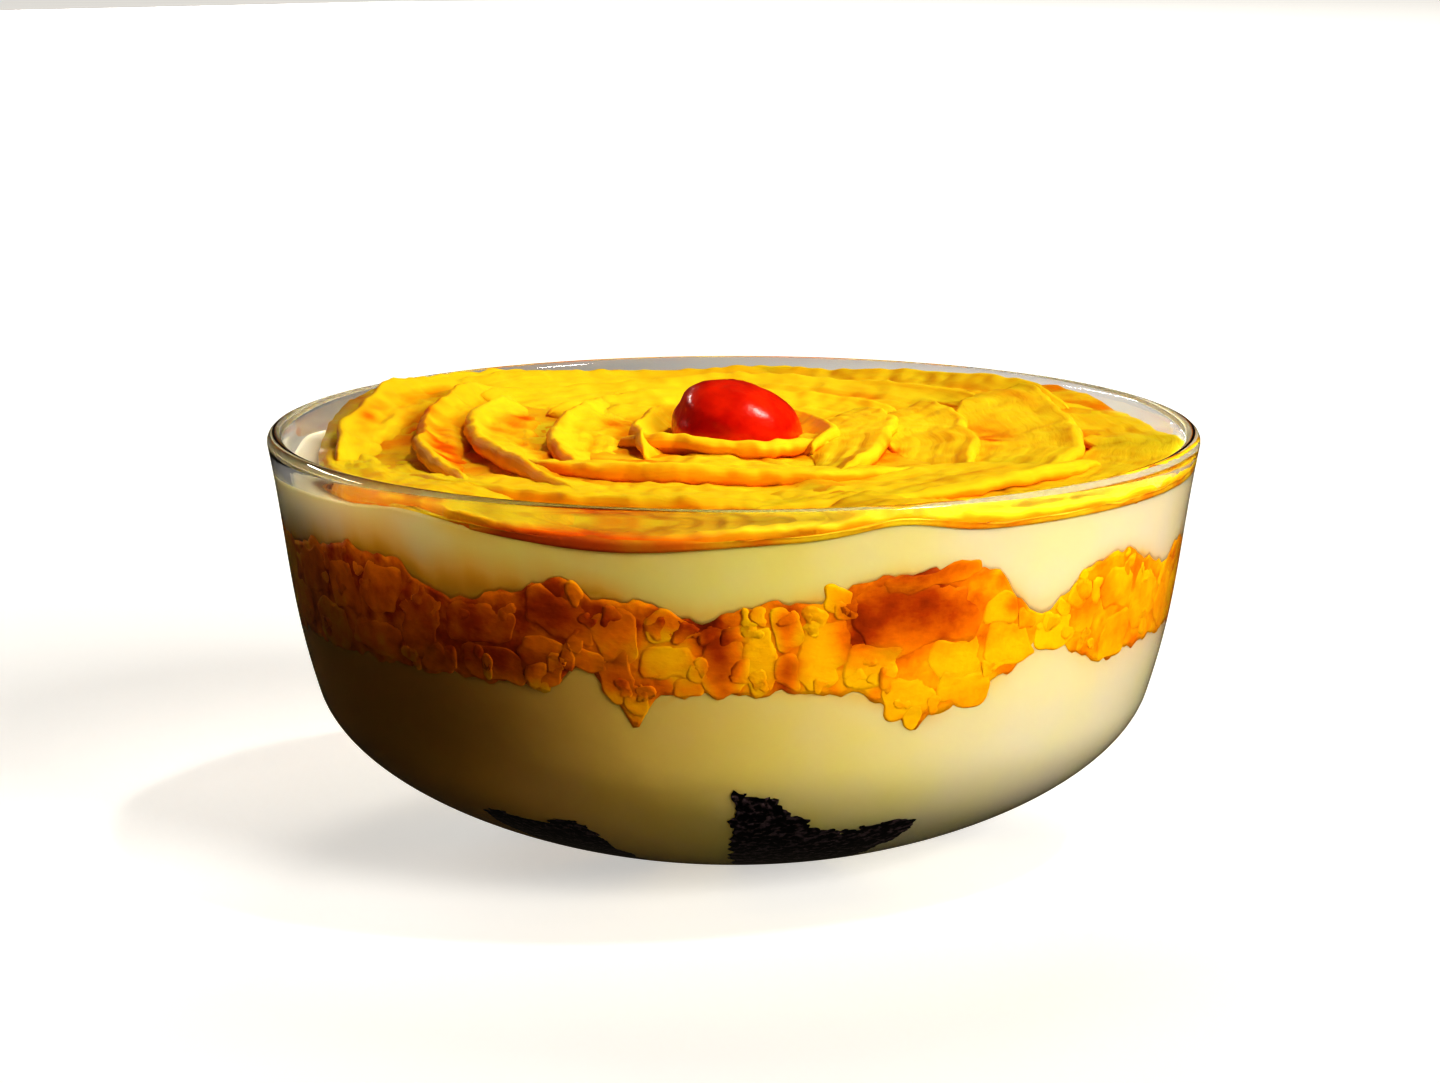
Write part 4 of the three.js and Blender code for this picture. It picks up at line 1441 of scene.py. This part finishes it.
    def under_edge_shade(self, points):
        """Painted shade under the slices turned down against the glass: darker underneath, most at the front
        left.
        """
        angle, radius = angle_of(points), np.hypot(points[:, 0], points[:, 1]) / MM
        low = np.clip((UNDER_EDGE_SHADE["below"] - points[:, 2] / MM) / UNDER_EDGE_SHADE["over"], 0, 1)
        outer = np.clip((radius - UNDER_EDGE_SHADE["radius"]) / UNDER_EDGE_SHADE["radius_over"], 0, 1)
        riper = 0.18 + sum(more * bell(angle, at, spread) for at, spread, more in UNDER_EDGE_SHADE_SPOTS)
        return low * outer * riper

    def strokes(self, points, flows):
        """Relief in mm of the streaks along the fibres and the lumps, calmer at the right, and the
        ragged edge."""
        angle = angle_of(points)
        calm = np.clip((angle - 20) / 40, 0, 1) * np.clip((150 - angle) / 30, 0, 1)

        def relief(name, places):
            height, lower, size, seed = RELIEF[name]
            return (height - lower * calm) * soft_noise(places, size * MM, seed, 2)

        outwards = points * np.array([1.0, 1.0, 0.0])
        outwards /= np.maximum(np.linalg.norm(outwards, axis=1), 1e-6)[:, None]
        upwards = relief("streaks", flows * ALONG_FIBRES) + relief("lumps", points)
        return upwards, outwards * relief("ragged edge", flows * ALONG_EDGE)[:, None]


DIMPLE_SIDE = np.array((0.35, 0.85, 0.4))  # where the stalk was: at the back, a little to the right
DIMPLE_WIDTH = 0.035  # as a share of the cherry's half size
CHERRY_LUMPS = ((0.35 * MM, 1.4, 9, 2), (0.1 * MM, 0.4, 10, 2))  # sizes as shares of its half size


class TRIFLE_OT_cherry(PieceOperator, bpy.types.Operator):
    """Glossy cherry, a little uneven, with the dimple of its stalk at the back"""

    bl_idname = "trifle.cherry"
    bl_label = "Cherry"

    def build(self, context):
        middle = np.array((CHERRY_LOW + CHERRY_HIGH) / 2)
        size = np.array(CHERRY_HIGH - CHERRY_LOW) / 2
        rows, around = 40, 64
        angles = even_angles(around)
        side = DIMPLE_SIDE / np.linalg.norm(DIMPLE_SIDE)
        rings = []
        for tilt in np.linspace(-90, 90, rows + 2)[1:-1]:
            level = math.sin(math.radians(tilt))
            rings.append(polar(angles, math.cos(math.radians(tilt)), level))
        unit = np.vstack([[(0, 0, -1)], *rings, [(0, 0, 1)]])
        dimple = context.scene.trifle_cherry.dimple * np.exp(-(1 - unit @ side) / DIMPLE_WIDTH)
        lumps = lumps_at(unit, CHERRY_LUMPS)
        points = middle + unit * (size - 0.25 * MM) + unit * (lumps - dimple)[:, None]
        points[:, 0] += context.scene.trifle_cherry.lean * (middle[2] - points[:, 2])
        piece = make_mesh("red_cherry", points, ring_faces(rows, around))
        settle(piece, cherry_material(), "cherry", "cherry")


# ---------------------------------------------------------------- studio

WHITE, WARM = (1.0, 0.98, 0.94), (1.0, 0.88, 0.62)
ALL_ROUND = (1.0, 0.85, 0.65, 1)  # colour of the light from all round
SHADING, GLOSS = "shading", "gloss"  # what a lamp gives: light and shade, or reflections
# Soft lamps: name, angle, elevation, distance, both sides in m, its power setting and what it gives
LAMPS = (
    ("key_light", 50, 27, 2.2, (0.9, 0.9), "key_power", SHADING),
    ("back_light", 172, 40, 1.6, (0.5, 0.5), "back_power", SHADING),
    ("rim_light", -127, 28, 1.2, (0.8, 0.04), "rim_power", GLOSS),
    ("window_light", 64, 54, 1.1, (0.16, 0.24), "window_power", GLOSS),
    ("bounce_light", 52, -28, 1.4, (0.8, 0.8), "bounce_power", SHADING),
    ("far_light", 196, 8, 1.6, (0.6, 0.6), "far_power", SHADING),
)
LAMP_AIM, OVERHEAD_AIM = (0, 0, 0.04), (0, 0, 0.064)  # in m
FLOOR_HALF = 4.0  # half a side of the floor, in m
FLOOR_CHANGE = (-0.05, 0.06)  # from the left to the right the floor in the glass gets brighter, in m
FLOOR_RIGHT = 2.2  # by this factor
MIDDLE_HEIGHT = 0.0329  # half the height up to the rim, in m
SPOT_DISTANCE = 1.1  # in m
SIDE_AIM = (-42, 0.066, 0.060)  # upper cream at the left: angle, then radius and height in m
SIDE_STRETCH = (1.6, 1.0, 1.0)  # the spot from the left is wider than it is tall


class TRIFLE_OT_stage(PieceOperator, bpy.types.Operator):
    """Pale floor, soft lights and the camera"""

    bl_idname = "trifle.stage"
    bl_label = "Studio"

    def build(self, context):
        studio = context.scene.trifle_studio
        context.scene.view_settings.view_transform = "Standard"
        context.scene.view_settings.look = "High Contrast"
        self.floor(studio)
        self.lights(studio)
        self.world(context)
        self.camera(context, studio)

    def floor(self, studio):
        corners = [(x * FLOOR_HALF, y * FLOOR_HALF, 0) for x, y in ((-1, -1), (1, -1), (1, 1), (-1, 1))]
        floor = make_mesh("studio_floor", corners, [(0, 1, 2, 3)])
        material, tree, shader = new_material("Pale floor")
        group = place_mottle(tree, 6.0, 300.0)
        light = tuple(studio.floor)
        dark = tuple(value * 0.97 for value in light[:3]) + (1.0,)
        seen = self.seen_floor(tree, studio)
        black = (0.0, 0.0, 0.0, 1.0)
        pale = blend_colour(tree, group.outputs["Patches"], light, dark)
        tree.links.new(blend_colour(tree, seen, black, pale), shader.inputs["Base Color"])
        tree.links.new(blend_colour(tree, seen, black, light), shader.inputs["Emission Color"])
        set_inputs(shader, Roughness=0.8, Emission_Strength=studio.floor_glow)
        floor.data.materials.append(material)
        floor.visible_diffuse = False
        floor.visible_glossy = False
        floor.visible_shadow = False

    def seen_floor(self, tree, studio):
        """How bright the floor is: fully in view, dimmer through the glass, most at its left side, and
        dark to the food."""
        path = tree.nodes.new("ShaderNodeLightPath")
        direct = maths(tree, "LESS_THAN", path.outputs["Diffuse Depth"], 0.5)
        sideways = tree.nodes.new("ShaderNodeSeparateXYZ")
        tree.links.new(object_place(tree), sideways.inputs[0])
        left, right = studio.floor_through, FLOOR_RIGHT * studio.floor_through
        dim = remap(tree, sideways.outputs["X"], *FLOOR_CHANGE, left, right)
        through = remap(tree, path.outputs["Is Camera Ray"], 0.0, 1.0, dim, 1.0)
        return maths(tree, "MULTIPLY", direct, through)

    def lights(self, studio):
        for name, angle, elevation, distance, size, setting, lights in LAMPS:
            self.lamp(name, angle, elevation, distance, size, getattr(studio, setting), lights)
        top = self.spot("overhead_light", 85, 66, OVERHEAD_AIM, studio.beam, WHITE)
        top.data.energy = studio.top_power
        top.data.spot_blend = 0.4
        top.data.shadow_soft_size = 0.05
        side = self.spot("side_light", -56, 18, polar(*SIDE_AIM), studio.side_beam, WARM)
        side.data.energy = studio.side_power
        side.data.spot_blend = 1.0
        side.data.shadow_soft_size = 0.008
        side.scale = SIDE_STRETCH

    def spot(self, name, angle, elevation, target, beam, tint):
        data = bpy.data.lights.new(name, "SPOT")
        data.spot_size = 2 * math.atan(beam / SPOT_DISTANCE)
        data.color = tint
        lamp = bpy.data.objects.new(name, data)
        lamp.visible_glossy = False
        lamp.visible_camera = False
        self.aim(lamp, angle, elevation, SPOT_DISTANCE, Vector(target))
        return lamp

    def lamp(self, name, angle, elevation, distance, size, power, lights):
        data = bpy.data.lights.new(name, "AREA")
        data.shape = "RECTANGLE"
        data.size, data.size_y = size
        data.energy = power
        data.color = WHITE
        lamp = bpy.data.objects.new(name, data)
        lamp.visible_diffuse = lights == SHADING
        lamp.visible_glossy = lights == GLOSS
        lamp.visible_camera = False
        self.aim(lamp, angle, elevation, distance, Vector(LAMP_AIM))

    def aim(self, lamp, angle, elevation, distance, target):
        rise = math.radians(elevation)
        lamp.location = target + Vector(polar(angle, distance * math.cos(rise), distance * math.sin(rise)))
        lamp.rotation_euler = (target - lamp.location).to_track_quat("-Z", "Y").to_euler()
        bpy.context.scene.collection.objects.link(lamp)

    def world(self, context):
        studio = context.scene.trifle_studio
        world = bpy.data.worlds.new("Studio")
        world.use_nodes = True
        tree = world.node_tree
        dim = tree.nodes["Background"]
        dim.inputs["Color"].default_value = ALL_ROUND
        dim.inputs["Strength"].default_value = studio.world_strength
        wall = tree.nodes.new("ShaderNodeBackground")
        wall.inputs["Color"].default_value = studio.backdrop
        in_view = tree.nodes.new("ShaderNodeLightPath").outputs["Is Camera Ray"]
        surface = mix_shaders(tree, in_view, dim.outputs[0], wall.outputs[0])
        tree.links.new(surface, tree.nodes["World Output"].inputs["Surface"])
        context.scene.world = world

    def camera(self, context, studio):
        middle = Vector((0, 0, MIDDLE_HEIGHT))
        back = Vector((0, -math.cos(studio.elevation), math.sin(studio.elevation)))
        up = Vector((0, math.sin(studio.elevation), math.cos(studio.elevation)))
        data = bpy.data.cameras.new("camera")
        data.sensor_width = 36.0
        data.lens = studio.lens
        data.clip_start = 0.05
        camera = bpy.data.objects.new("camera", data)
        camera.location = middle + back * studio.distance
        target = middle + up * studio.aim_up - Vector((studio.aim_left, 0, 0))
        camera.rotation_euler = (target - camera.location).to_track_quat("-Z", "Y").to_euler()
        context.scene.collection.objects.link(camera)
        context.scene.camera = camera


# ---------------------------------------------------------------- add-on

OPERATORS = (
    TRIFLE_OT_bowl,
    TRIFLE_OT_cake,
    TRIFLE_OT_cream,
    TRIFLE_OT_mango_layer,
    TRIFLE_OT_rose,
    TRIFLE_OT_cherry,
    TRIFLE_OT_stage,
)


class TRIFLE_PT_panel(bpy.types.Panel):
    """Buttons for the pieces of the trifle, with their settings"""

    bl_label = "Mango trifle"
    bl_idname = "TRIFLE_PT_panel"
    bl_space_type = "VIEW_3D"
    bl_region_type = "UI"
    bl_category = "Trifle"

    def draw(self, context):
        for operator in OPERATORS:
            self.layout.operator(operator.bl_idname)
        for name, settings in SETTINGS.items():
            box = self.layout.box()
            box.label(text=settings.__doc__)
            for field in settings.__annotations__:
                box.prop(getattr(context.scene, name), field)


CLASSES = (*SETTINGS.values(), *OPERATORS, TRIFLE_PT_panel)


def register():
    """Register the classes and hang the settings on the scene."""
    for item in CLASSES:
        bpy.utils.register_class(item)
    for name, settings in SETTINGS.items():
        setattr(bpy.types.Scene, name, PointerProperty(type=settings))


def unregister():
    """Take the settings and the classes away again."""
    for name in SETTINGS:
        delattr(bpy.types.Scene, name)
    for item in reversed(CLASSES):
        bpy.utils.unregister_class(item)


def main():
    """Register the add-on and build the whole trifle."""
    register()
    for operator in OPERATORS:
        group, action = operator.bl_idname.split(".")
        getattr(getattr(bpy.ops, group), action)()


if __name__ == "__main__":
    main()
